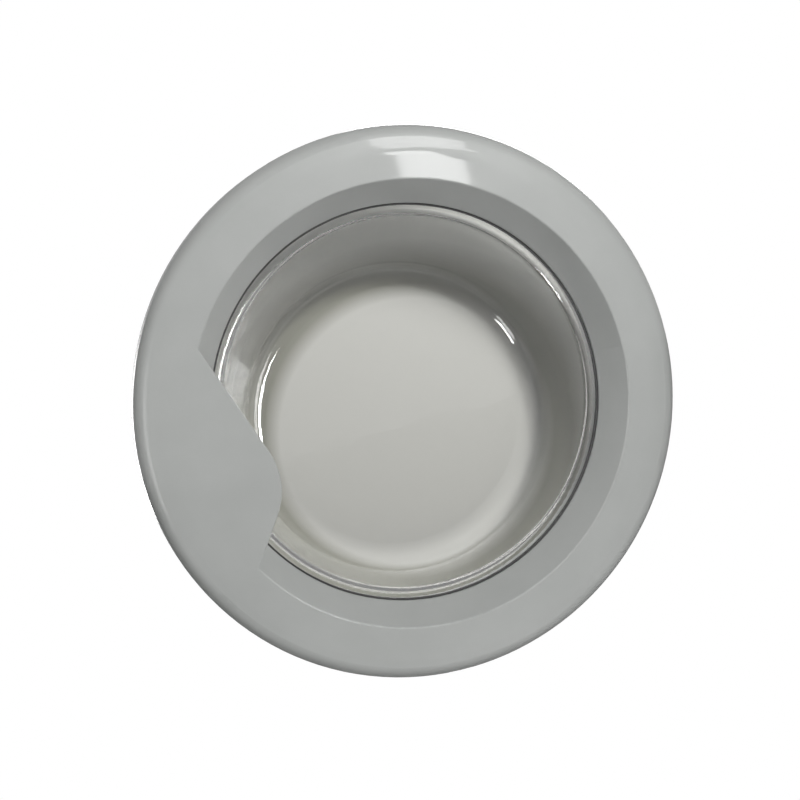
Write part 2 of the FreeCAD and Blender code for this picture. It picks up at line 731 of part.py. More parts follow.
def spring_sleeve(name, low):
    """The body of a torsion spring's close coil, as a sleeve from a height upwards."""
    inner = "latch_pin_radius + spring_play"
    outer = f"{inner} + 2 * (wire_radius + wire_cover)"
    tubes = []
    for part, radius in (("outside", outer), ("inside", inner)):
        tube = doc.addObject("Part::Cylinder", f"{name}_{part}")
        bind(tube, "Radius", radius)
        bind(tube, "Height", "notch_half - hook_hub_half - 2 * spring_play")
        bind(tube, "Placement.Base.z", low)
        tubes.append(tube)
    sleeve = doc.addObject("Part::Cut", f"{name}_coil")
    sleeve.Base, sleeve.Tool = tubes
    return sleeve


def make_springs():
    """The two torsion springs on the latch pin, one for the hook and one for the lever."""
    coil = "latch_pin_radius + spring_play + wire_cover + wire_radius"
    near = "hook_hub_half + spring_play + wire_cover + wire_radius"
    far = "notch_half - spring_play - wire_cover - wire_radius"
    along, across, upright = Vector(1, 0, 0), Vector(0, 1, 0), Vector(0, 0, 1)
    shank_side = "hook_half_width + wire_radius + fixed_fit"
    paddle_front = "-lever_thickness - wire_radius - fixed_fit"
    hook_pieces = [
        spring_sleeve("hook_spring", "-notch_half + spring_play"),
        wire("hook_spring_arm", "spring_arm", shank_side, "0", f"-({near})", across),
        wire("hook_spring_end", near, shank_side, "spring_arm", f"-({near})", upright),
        wire("hook_spring_tail", "spring_tail", "-spring_tail", coil, f"-({far})", along),
    ]
    lever_pieces = [
        spring_sleeve("lever_spring", "hook_hub_half + spring_play"),
        wire("lever_spring_arm", "spring_leg", "0", paddle_front, near, along),
        wire("lever_spring_tail", "spring_tail", "-spring_tail", coil, far, along),
    ]
    for label, pieces in (("hook_spring", hook_pieces), ("lever_spring", lever_pieces)):
        spring = doc.addObject("Part::MultiFuse", label)
        spring.Label = label
        spring.Shapes = pieces
        place(spring, "-latch_x", "-latch_depth")


def make_pin(label, radius, high, low, x, y):
    """A headed pin with a clip in its groove, standing in holders that reach from low to high."""
    top, end = f"{high} + pin_head_height", f"{low} - pin_end"
    groove_low = f"{low} - clip_thickness - fixed_fit"
    groove = f"{radius} - groove_depth"
    pin = turned(
        label,
        [
            ("0", end),
            (radius, end),
            (radius, groove_low),
            (groove, groove_low),
            (groove, low),
            (radius, low),
            (radius, high),
            (f"{radius} + pin_head_margin", high),
            (f"{radius} + pin_head_margin", top),
            ("0", top),
        ],
    )
    place(pin, x, y)
    clip_low = f"{low} - clip_thickness"
    clip = turned(
        f"{label}_clip",
        rectangle(f"{groove} + fixed_fit", f"{radius} + clip_margin", clip_low, low),
    )
    place(clip, x, y)


def make_latch_carrier():
    """The bracket that holds the latch pin: web, two cheeks and two screwed ears."""
    body = new_body("latch_carrier")
    outside = "-latch_x - hook_hub_radius - carrier_gap - carrier_thickness"
    inside = "-latch_x - hook_hub_radius - carrier_gap"
    rear = "-latch_depth + carrier_rear"
    web = new_sketch(body, "web_outline", "XY_Plane")
    add_outline(web, rectangle(outside, inside, EAR_FRONT, rear))
    extrude("Pad", web, "web", f"2 * ({CHEEK} + carrier_thickness)", symmetric=True)
    cheek = new_sketch(body, "cheek_outline", "XY_Plane", CHEEK)
    add_outline(
        cheek,
        [
            (outside, EAR_FRONT),
            ("-latch_x + carrier_width", EAR_FRONT),
            ("-latch_x + carrier_width", rear, "carrier_round"),
            (outside, rear),
        ],
    )
    cheek_pad = extrude("Pad", cheek, "cheek", "carrier_thickness")
    ear = new_sketch(body, "ear_outline", "XZ_Plane", f"-({EAR_FRONT})")
    ear_end = f"{CHEEK} + carrier_thickness + ear_length"
    add_outline(
        ear,
        [
            ("-latch_x - ear_half_width", CHEEK),
            ("-latch_x + ear_half_width", CHEEK),
            ("-latch_x + ear_half_width", ear_end, "carrier_round"),
            ("-latch_x - ear_half_width", ear_end, "carrier_round"),
        ],
    )
    ear_pad = extrude("Pad", ear, "ear", "carrier_thickness", reverse=True)
    pin_hole = new_sketch(body, "pin_hole_outline", "XY_Plane", CHEEK)
    add_circle(pin_hole, "-latch_x", "-latch_depth", "latch_pin_radius + fixed_fit")
    pin_cut = cut(pin_hole, "pin_hole", "carrier_thickness", reverse=True)
    screw_hole = new_sketch(body, "ear_hole_outline", "XZ_Plane", f"-({EAR_FRONT})")
    add_circle(screw_hole, *carrier_screw_places()[0], "screw_radius + hole_clearance")
    screw_cut = cut(screw_hole, "ear_hole", "carrier_thickness")
    mirrored(body, "other_side", [cheek_pad, ear_pad, pin_cut, screw_cut])
    place(body)


def make_screws(label, places, seat):
    """One node of equal screws with their heads' undersides on a seat, pointing to the front."""
    screws = []
    for i, (x, z) in enumerate(places):
        screw = turned(
            f"{label}_{i + 1}",
            [
                ("0", "-screw_length"),
                ("screw_radius", "-screw_length"),
                ("screw_radius", "0"),
                ("screw_head_radius", "0"),
                ("screw_head_radius", "screw_head_height", "screw_head_round"),
                ("0", "screw_head_height"),
            ],
            "XY_Plane",
        )
        place(screw, x, seat, z)
        screws.append(screw)
    group = doc.addObject("Part::Compound", label)
    group.Label = label
    group.Links = screws


def make_hinge_plate():
    """The cabinet's side of the hinge: screwed plate with two arms and eyes."""
    body = new_body("hinge_plate")
    base = new_sketch(body, "base_outline", "XZ_Plane")
    add_outline(base, rectangle("-base_left", "base_right", "-base_half", "base_half", "base_corner"))
    extrude("Pad", base, "base", "base_thickness")
    pin_x, pin_y = "hinge_x - mount_x", "-hinge_depth"
    lean = "eye_radius * cos(45)"
    arm = new_sketch(body, "arm_outline", "XY_Plane", "arm_inner")
    add_outline(
        arm,
        [
            ("base_right", "-base_thickness / 2"),
            ("base_right - arm_root", "-base_thickness / 2"),
            (f"{pin_x} - {lean}", f"{pin_y} - {lean}"),
            (f"{pin_x} + {lean}", f"{pin_y} + {lean}"),
        ],
    )
    arm_pad = extrude("Pad", arm, "arm", "arm_thickness")
    eye = new_sketch(body, "eye_outline", "XY_Plane", "arm_inner")
    add_circle(eye, pin_x, pin_y, "eye_radius")
    eye_pad = extrude("Pad", eye, "eye", "arm_thickness")
    bore = new_sketch(body, "eye_bore_outline", "XY_Plane", "arm_inner")
    add_circle(bore, pin_x, pin_y, "hinge_pin_radius + fixed_fit")
    eye_bore = cut(bore, "eye_bore", "arm_thickness", reverse=True)
    mirrored(body, "lower_arm", [arm_pad, eye_pad, eye_bore])
    holes = new_sketch(body, "mount_holes", "XZ_Plane")
    for x in ("mount_across / 2", "-mount_across / 2"):
        for z in ("mount_along / 2", "-mount_along / 2"):
            add_circle(holes, x, z, "mount_hole_radius")
    cut(holes, "mount_holes_cut", "base_thickness", reverse=True)


def make_hinge_leaf():
    """The door's side of the hinge: barrel between the arms and a leaf screwed behind the face."""
    body = new_body("hinge_leaf")
    barrel = new_sketch(body, "barrel_outline", "XY_Plane")
    add_circle(barrel, "hinge_x", "-hinge_depth", "barrel_radius")
    extrude("Pad", barrel, "barrel", "2 * barrel_half", symmetric=True)
    leaf = new_sketch(body, "leaf_outline", "XZ_Plane", f"-({LEAF_FRONT})")
    step = "leaf_left + leaf_wide"
    add_outline(
        leaf,
        [
            ("leaf_left", "-leaf_half", "leaf_corner"),
            (step, "-leaf_half", "leaf_corner"),
            (step, "-barrel_half"),
            ("hinge_x", "-barrel_half"),
            ("hinge_x", "barrel_half"),
            (step, "barrel_half"),
            (step, "leaf_half", "leaf_corner"),
            ("leaf_left", "leaf_half", "leaf_corner"),
        ],
    )
    extrude("Pad", leaf, "leaf", "leaf_thickness", reverse=True)
    bore = new_sketch(body, "barrel_bore_outline", "XY_Plane")
    add_circle(bore, "hinge_x", "-hinge_depth", "bush_radius + fixed_fit")
    cut(bore, "barrel_bore", "2 * barrel_half", symmetric=True)
    holes = new_sketch(body, "leaf_holes", "XZ_Plane", f"-({LEAF_FRONT})")
    for x, z in leaf_screw_places():
        add_circle(holes, x, z, "screw_radius + hole_clearance")
    cut(holes, "leaf_holes_cut", "leaf_thickness")
    place(body)


def make_hinge_bushes():
    """The two flanged bushes in the barrel's ends."""
    bore = "hinge_pin_radius + running_fit"
    for label, side in (("hinge_bush_upper", 1), ("hinge_bush_lower", -1)):
        flange = f"{side} * (arm_inner - bush_play)"
        shoulder = f"{side} * barrel_half"
        end = f"{side} * (barrel_half - bush_length)"
        bush = turned(
            label,
            [
                (bore, end),
                ("bush_radius", end),
                ("bush_radius", shoulder),
                ("barrel_radius", shoulder),
                ("barrel_radius", flange),
                (bore, flange),
            ],
        )
        place(bush, "hinge_x", "-hinge_depth")


def build():
    """Builds every sub-part, checks it and writes it."""
    make_outer_frame()
    make_inner_frame()
    make_glass_seal()
    make_glass_bowl()
    make_release_lever()
    make_latch_hook()
    make_springs()
    make_latch_carrier()
    cheek_end = f"{CHEEK} + carrier_thickness"
    make_pin("latch_pin", "latch_pin_radius", cheek_end, f"-({cheek_end})", "-latch_x", "-latch_depth")
    make_screws("carrier_screws", carrier_screw_places(), f"{EAR_FRONT} + carrier_thickness")
    make_screws("frame_screws", frame_screw_places(), "-inner_depth + inner_wall")
    make_hinge_plate()
    make_hinge_leaf()
    make_hinge_bushes()
    arm_end = "arm_inner + arm_thickness"
    make_pin("hinge_pin", "hinge_pin_radius", arm_end, f"-({arm_end})", "hinge_x", "-hinge_depth")
    make_screws("hinge_leaf_screws", leaf_screw_places(), f"{LEAF_FRONT} + leaf_thickness")
    doc.recompute()

    for thing in doc.Objects:
        if {"Invalid", "Error"} & set(thing.State):
            raise ValueError(f"{thing.Label} failed: {thing.State}")
    os.makedirs("parts", exist_ok=True)
    used = {link for thing in doc.Objects for link in thing.OutList}
    for thing in doc.Objects:
        is_piece = thing.TypeId in ("PartDesign::Body", "Part::MultiFuse", "Part::Compound")
        if not is_piece or thing in used:
            continue
        shape = thing.Shape
        if shape.isNull() or not shape.isValid() or shape.Volume <= 0:
            raise ValueError(f"{thing.Label} has no valid shape")
        shape.exportStep(f"parts/{thing.Label}.step")
        print(thing.Label, len(shape.Solids), round(shape.Volume, 1), shape.BoundBox)


build()
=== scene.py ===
"""Looks of a washing machine door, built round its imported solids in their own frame, in metres.

The door hangs upright: +Z is up, the front faces -Y, the handle is at -X and the hinge at +X.
"""

from __future__ import annotations

import logging
import math
from dataclasses import dataclass, field
from enum import Enum
from typing import Any

import bpy
from mathutils import Matrix, Vector

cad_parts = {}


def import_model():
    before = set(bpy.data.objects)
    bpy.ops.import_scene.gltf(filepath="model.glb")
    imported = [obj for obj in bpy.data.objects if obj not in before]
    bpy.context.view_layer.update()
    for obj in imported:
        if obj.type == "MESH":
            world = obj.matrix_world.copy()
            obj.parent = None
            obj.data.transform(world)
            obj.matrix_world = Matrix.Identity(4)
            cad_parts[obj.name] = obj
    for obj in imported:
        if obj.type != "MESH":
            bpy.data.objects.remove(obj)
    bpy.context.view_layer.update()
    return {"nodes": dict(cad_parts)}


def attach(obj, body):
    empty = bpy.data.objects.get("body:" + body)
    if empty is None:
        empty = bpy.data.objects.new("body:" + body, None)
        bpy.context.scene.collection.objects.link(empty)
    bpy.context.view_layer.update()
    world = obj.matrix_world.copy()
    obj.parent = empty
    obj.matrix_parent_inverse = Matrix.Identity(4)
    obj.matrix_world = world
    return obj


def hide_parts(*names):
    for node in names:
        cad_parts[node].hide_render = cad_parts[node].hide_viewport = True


LOG = logging.getLogger("washing_machine_door")
DOOR_AXIS_X = -0.185
GLASS = "glass_bowl"
RING = "outer_frame"
BOARD = "board"
FLOOR = "floor"
WHITE = (1.0, 1.0, 1.0, 1.0)

# places of the Mix node's sockets, whose names repeat
MIX_FACTOR = 0
MIX_FLOATS = (2, 3)
MIX_COLOURS = (6, 7)
MIX_COLOUR_RESULT = 2

Colour = tuple[float, float, float]
Point = tuple[float, float, float]


class Body(str, Enum):
    """The bodies that pieces ride on."""

    DOOR = "door"
    LEVER = "lever"
    HOOK = "hook"


class Slot(str, Enum):
    """The material slots of the part's record."""

    SILVER = "silver_plastic"
    GREY = "grey_plastic"
    RUBBER = "seal_rubber"
    GLASS = "bowl_glass"
    DARK = "dark_plastic"
    CAST_ZINC = "cast_zinc"
    ZINC_SHEET = "zinc_sheet"
    SPRING = "spring_steel"
    BRIGHT = "bright_steel"
    HINGE = "hinge_metal"
    BUSH = "bush_plastic"


class Light(Enum):
    """What a lamp adds to the things it lights."""

    BOTH = "colour and shine"
    COLOUR = "colour alone"
    SHINE = "shine alone"
    GLINT = "shine on both faces of the glass"


class Grain(Enum):
    """How a surface was made, which sets its relief."""

    MOULDED = "moulded_grain"
    BRUSHED = "brushed_grain"


@dataclass
class Graph:
    """Adds nodes and links to one node tree."""

    tree: bpy.types.NodeTree

    def add(self, kind: str, values: dict[str, Any] | None = None, **settings: Any) -> bpy.types.Node:
        """Adds a node.

        Args:
            kind: the node's type name.
            values: input values by socket name.
            settings: the node's own properties.

        Returns:
            The new node.
        """
        node = self.tree.nodes.new(kind)
        for name, value in settings.items():
            setattr(node, name, value)
        for name, value in (values or {}).items():
            node.inputs[name].default_value = value
        return node

    def link(self, source: bpy.types.NodeSocket, target: bpy.types.NodeSocket) -> None:
        """Links an output to an input."""
        self.tree.links.new(source, target)

    def socket(self, name: str, kind: str, is_input: bool, value: Any = None) -> None:
        """Adds a socket to the tree's interface.

        Args:
            name: the socket's name.
            kind: the socket's type, without its prefix.
            is_input: whether it is an input.
            value: an input's first value.
        """
        direction = "INPUT" if is_input else "OUTPUT"
        made = self.tree.interface.new_socket(name=name, in_out=direction, socket_type=f"NodeSocket{kind}")
        if value is not None:
            made.default_value = value


class SurfaceEffects:
    """The shader effects that several finishes share, each a node group that is built once."""

    def __init__(self) -> None:
        """Builds the groups."""
        self.mottle = self._mottle()
        self.moulded = self._moulded()
        self.brushed = self._brushed()
        self.smudges = self._smudges()

    @staticmethod
    def _start(name: str) -> tuple[Graph, bpy.types.Node, bpy.types.Node, bpy.types.NodeSocket]:
        """Starts a group that reads object coordinates.

        Args:
            name: the group's name.

        Returns:
            The graph, its input and output nodes, and the coordinates' socket.
        """
        graph = Graph(bpy.data.node_groups.new(name, "ShaderNodeTree"))
        given = graph.add("NodeGroupInput")
        result = graph.add("NodeGroupOutput")
        return graph, given, result, graph.add("ShaderNodeTexCoord").outputs["Object"]

    def _mottle(self) -> bpy.types.NodeTree:
        """Soft patches and fine specks between two colours.

        Returns:
            The shader group.
        """
        graph, given, result, place = self._start("surface_mottle")
        graph.socket("Dark", "Color", True)
        graph.socket("Light", "Color", True)
        graph.socket("Patch Scale", "Float", True, 30.0)
        graph.socket("Speck Scale", "Float", True, 2500.0)
        graph.socket("Speck Share", "Float", True, 0.5)
        graph.socket("Color", "Color", False)
        patch = graph.add("ShaderNodeTexNoise", {"Detail": 4.0, "Roughness": 0.55})
        speck = graph.add("ShaderNodeTexNoise", {"Detail": 2.0, "Roughness": 0.6})
        for noise, scale in ((patch, "Patch Scale"), (speck, "Speck Scale")):
            graph.link(place, noise.inputs["Vector"])
            graph.link(given.outputs[scale], noise.inputs["Scale"])
        both = graph.add("ShaderNodeMix", data_type="FLOAT")
        graph.link(given.outputs["Speck Share"], both.inputs[MIX_FACTOR])
        for noise, entry in zip((patch, speck), MIX_FLOATS):
            graph.link(noise.outputs["Fac"], both.inputs[entry])
        spread = graph.add("ShaderNodeMapRange", {"From Min": 0.3, "From Max": 0.7})
        graph.link(both.outputs[0], spread.inputs["Value"])
        colour = graph.add("ShaderNodeMix", data_type="RGBA")
        graph.link(spread.outputs["Result"], colour.inputs[MIX_FACTOR])
        for shade, entry in zip(("Dark", "Light"), MIX_COLOURS):
            graph.link(given.outputs[shade], colour.inputs[entry])
        graph.link(colour.outputs[MIX_COLOUR_RESULT], result.inputs["Color"])
        return graph.tree

    def _moulded(self) -> bpy.types.NodeTree:
        """The fine pebbled relief of a moulded or cast skin.

        Returns:
            The shader group.
        """
        graph, given, result, place = self._start(Grain.MOULDED.value)
        graph.socket("Scale", "Float", True, 1500.0)
        graph.socket("Height", "Float", False)
        cells = graph.add("ShaderNodeTexVoronoi", {"Randomness": 1.0}, feature="SMOOTH_F1")
        swell = graph.add("ShaderNodeTexNoise", {"Detail": 3.0})
        for texture in (cells, swell):
            graph.link(place, texture.inputs["Vector"])
            graph.link(given.outputs["Scale"], texture.inputs["Scale"])
        total = graph.add("ShaderNodeMath", operation="ADD")
        graph.link(cells.outputs["Distance"], total.inputs[0])
        graph.link(swell.outputs["Fac"], total.inputs[1])
        graph.link(total.outputs["Value"], result.inputs["Height"])
        return graph.tree

    def _brushed(self) -> bpy.types.NodeTree:
        """The drawn lines of rolled or plated metal.

        Returns:
            The shader group.
        """
        graph, given, result, place = self._start(Grain.BRUSHED.value)
        graph.socket("Scale", "Float", True, 900.0)
        graph.socket("Height", "Float", False)
        stretch = graph.add("ShaderNodeMapping", {"Scale": (1.0, 1.0, 0.04)})
        lines = graph.add("ShaderNodeTexNoise", {"Detail": 5.0, "Roughness": 0.7})
        graph.link(place, stretch.inputs["Vector"])
        graph.link(stretch.outputs["Vector"], lines.inputs["Vector"])
        graph.link(given.outputs["Scale"], lines.inputs["Scale"])
        graph.link(lines.outputs["Fac"], result.inputs["Height"])
        return graph.tree

    def _smudges(self) -> bpy.types.NodeTree:
        """Where hands and cloths have left a duller film.

        Returns:
            The shader group.
        """
        graph, given, result, place = self._start("handling_smudges")
        graph.socket("Scale", "Float", True, 14.0)
        graph.socket("Clean", "Float", True, 0.0)
        graph.socket("Smudged", "Float", True, 1.0)
        graph.socket("Value", "Float", False)
        film = graph.add("ShaderNodeTexNoise", {"Detail": 3.0, "Roughness": 0.5, "Distortion": 0.3})
        graph.link(place, film.inputs["Vector"])
        graph.link(given.outputs["Scale"], film.inputs["Scale"])
        level = graph.add("ShaderNodeMapRange", {"From Min": 0.3, "From Max": 0.75})
        graph.link(film.outputs["Fac"], level.inputs["Value"])
        graph.link(given.outputs["Clean"], level.inputs["To Min"])
        graph.link(given.outputs["Smudged"], level.inputs["To Max"])
        graph.link(level.outputs["Result"], result.inputs["Value"])
        return graph.tree

    def grain(self, kind: Grain) -> bpy.types.NodeTree:
        """The relief group for a kind of grain."""
        return self.moulded if kind is Grain.MOULDED else self.brushed


@dataclass(frozen=True)
class OpaqueFinish:
    """A moulded, painted or metal finish."""

    slot: Slot
    dark: Colour
    light: Colour
    smooth: float
    dull: float
    metallic: float = 0.0
    coat: float = 0.0
    coat_roughness: float = 0.06
    patch_scale: float = 30.0
    speck_scale: float = 2500.0
    speck_share: float = 0.5
    grain: Grain = Grain.MOULDED
    grain_scale: float = 1500.0
    grain_depth: float = 0.00004
    grain_strength: float = 0.2

    def material(self, effects: SurfaceEffects) -> bpy.types.Material:
        """Builds the finish.

        Args:
            effects: the shared shader groups.

        Returns:
            The new material.
        """
        made = bpy.data.materials.new(f"finish_{self.slot.value}")
        made.use_nodes = True
        graph = Graph(made.node_tree)
        shader = made.node_tree.nodes["Principled BSDF"]
        shader.inputs["Metallic"].default_value = self.metallic
        shader.inputs["Coat Weight"].default_value = self.coat
        shader.inputs["Coat Roughness"].default_value = self.coat_roughness
        mottle = graph.add("ShaderNodeGroup", node_tree=effects.mottle)
        mottle.inputs["Dark"].default_value = (*self.dark, 1.0)
        mottle.inputs["Light"].default_value = (*self.light, 1.0)
        mottle.inputs["Patch Scale"].default_value = self.patch_scale
        mottle.inputs["Speck Scale"].default_value = self.speck_scale
        mottle.inputs["Speck Share"].default_value = self.speck_share
        graph.link(mottle.outputs["Color"], shader.inputs["Base Color"])
        film = graph.add("ShaderNodeGroup", node_tree=effects.smudges)
        film.inputs["Clean"].default_value = self.smooth
        film.inputs["Smudged"].default_value = self.dull
        graph.link(film.outputs["Value"], shader.inputs["Roughness"])
        relief = graph.add("ShaderNodeGroup", node_tree=effects.grain(self.grain))
        relief.inputs["Scale"].default_value = self.grain_scale
        bump = graph.add("ShaderNodeBump", {"Strength": self.grain_strength, "Distance": self.grain_depth})
        graph.link(relief.outputs["Height"], bump.inputs["Height"])
        graph.link(bump.outputs["Normal"], shader.inputs["Normal"])
        return made


@dataclass(frozen=True)
class GlassFinish:
    """Clear pressed glass with a faint tint, slow waves and a thin film of handling."""

    slot: Slot = Slot.GLASS
    tint: Colour = (0.96, 0.96, 0.95)
    shade: Colour = (0.94, 0.94, 0.93)
    opaque: Colour = (0.0, 0.0, 0.0)
    index: float = 1.5
    grazing_power: float = 1.5
    # body is the strength of the painted glow: emission on the glass's inner faces
    body: float = 0.22
    turns_inside: float = 2.0
    clean: float = 0.0
    filmed: float = 0.03
    wave_scale: float = 22.0
    wave_depth: float = 0.0003
    wave_strength: float = 0.35

    def material(self, effects: SurfaceEffects) -> bpy.types.Material:
        """Builds the glass, which lets lamps shine through; its inner faces have a painted glow, an
        emission for rays that have mirrored inside it, standing in for light the glass guides.

        Args:
            effects: the shared shader groups.

        Returns:
            The new material.
        """
        made = bpy.data.materials.new(f"finish_{self.slot.value}")
        made.use_nodes = True
        graph = Graph(made.node_tree)
        shader = made.node_tree.nodes["Principled BSDF"]
        shader.inputs["Base Color"].default_value = (*self.tint, 1.0)
        shader.inputs["IOR"].default_value = self.index
        shader.inputs["Transmission Weight"].default_value = 1.0
        film = graph.add("ShaderNodeGroup", node_tree=effects.smudges)
        film.inputs["Clean"].default_value = self.clean
        film.inputs["Smudged"].default_value = self.filmed
        graph.link(film.outputs["Value"], shader.inputs["Roughness"])
        place = graph.add("ShaderNodeTexCoord")
        wave = graph.add("ShaderNodeTexNoise", {"Scale": self.wave_scale, "Detail": 1.0})
        graph.link(place.outputs["Object"], wave.inputs["Vector"])
        bump = graph.add("ShaderNodeBump", {"Strength": self.wave_strength, "Distance": self.wave_depth})
        graph.link(wave.outputs["Fac"], bump.inputs["Height"])
        graph.link(bump.outputs["Normal"], shader.inputs["Normal"])
        clear = graph.add("ShaderNodeBsdfTransparent")
        facing = graph.add("ShaderNodeLayerWeight")
        grazing = graph.add("ShaderNodeMath", operation="POWER")
        grazing.inputs[1].default_value = self.grazing_power
        graph.link(facing.outputs["Facing"], grazing.inputs[0])
        passed = graph.add("ShaderNodeMix", data_type="RGBA")
        for colour, entry in zip((self.shade, self.opaque), MIX_COLOURS):
            passed.inputs[entry].default_value = (*colour, 1.0)
        graph.link(grazing.outputs["Value"], passed.inputs[MIX_FACTOR])
        graph.link(passed.outputs[MIX_COLOUR_RESULT], clear.inputs["Color"])
        # painted glow: emission on back faces for rays at the given mirroring depth, standing in for
        # guided light
        rays = graph.add("ShaderNodeLightPath")
        side = graph.add("ShaderNodeNewGeometry")
        turned = graph.add("ShaderNodeMath", operation="COMPARE")
        graph.link(rays.outputs["Glossy Depth"], turned.inputs[0])
        turned.inputs[1].default_value = self.turns_inside
        painted_glow_mask = graph.add("ShaderNodeMath", operation="MULTIPLY")
        graph.link(side.outputs["Backfacing"], painted_glow_mask.inputs[0])
        graph.link(turned.outputs["Value"], painted_glow_mask.inputs[1])
        graph.link(painted_glow_mask.outputs["Value"], shader.inputs["Emission Color"])
        shader.inputs["Emission Strength"].default_value = self.body
        made.cycles.emission_sampling = "NONE"
        either = graph.add("ShaderNodeMath", operation="MAXIMUM")
        graph.link(rays.outputs["Is Shadow Ray"], either.inputs[0])
        graph.link(rays.outputs["Is Diffuse Ray"], either.inputs[1])
        mix = graph.add("ShaderNodeMixShader")
        graph.link(either.outputs["Value"], mix.inputs["Fac"])
        graph.link(shader.outputs["BSDF"], mix.inputs[1])
        graph.link(clear.outputs["BSDF"], mix.inputs[2])
        graph.link(mix.outputs["Shader"], made.node_tree.nodes["Material Output"].inputs["Surface"])
        return made


FINISHES: tuple[OpaqueFinish | GlassFinish, ...] = (
    OpaqueFinish(
        Slot.SILVER,
        dark=(0.36, 0.37, 0.36),
        light=(0.39, 0.40, 0.39),
        smooth=0.38,
        dull=0.46,
        metallic=0.1,
        coat=0.5,
        coat_roughness=0.05,
        patch_scale=24.0,
        speck_share=0.3,
        grain_scale=900.0,
        grain_depth=0.00003,
        grain_strength=0.12,
    ),
    OpaqueFinish(
        Slot.GREY,
        dark=(0.58, 0.59, 0.59),
        light=(0.65, 0.66, 0.66),
        smooth=0.42,
        dull=0.55,
        grain_strength=0.35,
    ),
    OpaqueFinish(
        Slot.RUBBER,
        dark=(0.03, 0.03, 0.03),
        light=(0.05, 0.05, 0.05),
        smooth=0.5,
        dull=0.7,
        grain_scale=2200.0,
        grain_strength=0.3,
    ),
    GlassFinish(),
    OpaqueFinish(
        Slot.DARK,
        dark=(0.11, 0.11, 0.115),
        light=(0.15, 0.15, 0.155),
        smooth=0.4,
        dull=0.55,
        grain_strength=0.4,
    ),
    OpaqueFinish(
        Slot.CAST_ZINC,
        dark=(0.42, 0.42, 0.42),
        light=(0.56, 0.56, 0.55),
        smooth=0.32,
        dull=0.5,
        metallic=1.0,
        patch_scale=120.0,
        grain_scale=1100.0,
        grain_depth=0.00008,
        grain_strength=0.35,
    ),
    OpaqueFinish(
        Slot.ZINC_SHEET,
        dark=(0.5, 0.5, 0.48),
        light=(0.66, 0.66, 0.64),
        smooth=0.3,
        dull=0.42,
        metallic=1.0,
        patch_scale=160.0,
        grain=Grain.BRUSHED,
        grain_strength=0.2,
    ),
    OpaqueFinish(
        Slot.SPRING,
        dark=(0.24, 0.24, 0.25),
        light=(0.36, 0.36, 0.37),
        smooth=0.29,
        dull=0.36,
        metallic=1.0,
        grain=Grain.BRUSHED,
        grain_strength=0.1,
    ),
    OpaqueFinish(
        Slot.BRIGHT,
        dark=(0.54, 0.54, 0.53),
        light=(0.66, 0.66, 0.65),
        smooth=0.18,
        dull=0.25,
        metallic=1.0,
        patch_scale=200.0,
        grain=Grain.BRUSHED,
        grain_strength=0.08,
    ),
    OpaqueFinish(
        Slot.HINGE,
        dark=(0.44, 0.44, 0.45),
        light=(0.58, 0.58, 0.59),
        smooth=0.34,
        dull=0.52,
        metallic=1.0,
        patch_scale=90.0,
        grain_scale=1000.0,
        grain_depth=0.00009,
        grain_strength=0.4,
    ),
    OpaqueFinish(
        Slot.BUSH,
        dark=(0.7, 0.69, 0.65),
        light=(0.78, 0.77, 0.73),
        smooth=0.38,
        dull=0.5,
        grain_strength=0.15,
    ),
)

NODE_SLOTS: dict[Slot, tuple[str, ...]] = {
    Slot.SILVER: ("outer_frame",),
    Slot.GREY: ("inner_frame",),
    Slot.RUBBER: ("glass_seal",),
    Slot.GLASS: ("glass_bowl",),
    Slot.DARK: ("release_lever",),
    Slot.CAST_ZINC: ("latch_hook",),
    Slot.ZINC_SHEET: ("latch_carrier",),
    Slot.SPRING: ("latch_pin_clip", "hinge_pin_clip"),
    Slot.BRIGHT: ("latch_pin", "hinge_pin"),
    Slot.HINGE: ("hinge_plate", "hinge_leaf"),
    Slot.BUSH: ("hinge_bush_upper", "hinge_bush_lower"),
}


class Palette:
    """The materials by slot, and the act of putting them on."""

    def __init__(self) -> None:
        """Builds every finish once."""
        effects = SurfaceEffects()
        self.materials = {finish.slot: finish.material(effects) for finish in FINISHES}

    def dress(self, thing: bpy.types.Object, slot: Slot) -> None:
        """Gives a piece one finish all over.

        Args:
            thing: the piece.
            slot: the finish's slot.
        """
        thing.data.materials.clear()
        thing.data.materials.append(self.materials[slot])
        for face in thing.data.polygons:
            face.material_index = 0


def bake_tree(
    name: str, start: bpy.types.Mesh, tree: bpy.types.NodeTree, values: dict[str, Any]
) -> bpy.types.Object:
    """Runs a geometry node tree and keeps its result as a plain mesh.

    Args:
        name: the new piece's name.
        start: the mesh that the tree is given.
        tree: the geometry node tree.
        values: the tree's inputs by name.

    Returns:
        The new piece, at the origin.
    """
    piece = bpy.data.objects.new(name, start)
    bpy.context.scene.collection.objects.link(piece)
    modifier = piece.modifiers.new("shape", "NODES")
    modifier.node_group = tree
    keys = {item.name: item.identifier for item in tree.interface.items_tree if item.in_out == "INPUT"}
    for label, value in values.items():
        modifier[keys[label]] = value
    piece.update_tag()
    bpy.context.view_layer.update()
    evaluated = piece.evaluated_get(bpy.context.evaluated_depsgraph_get())
    mesh = bpy.data.meshes.new_from_object(evaluated)
    piece.modifiers.remove(modifier)
    piece.data = mesh
    mesh.name = name
    bpy.data.meshes.remove(start)
    return piece


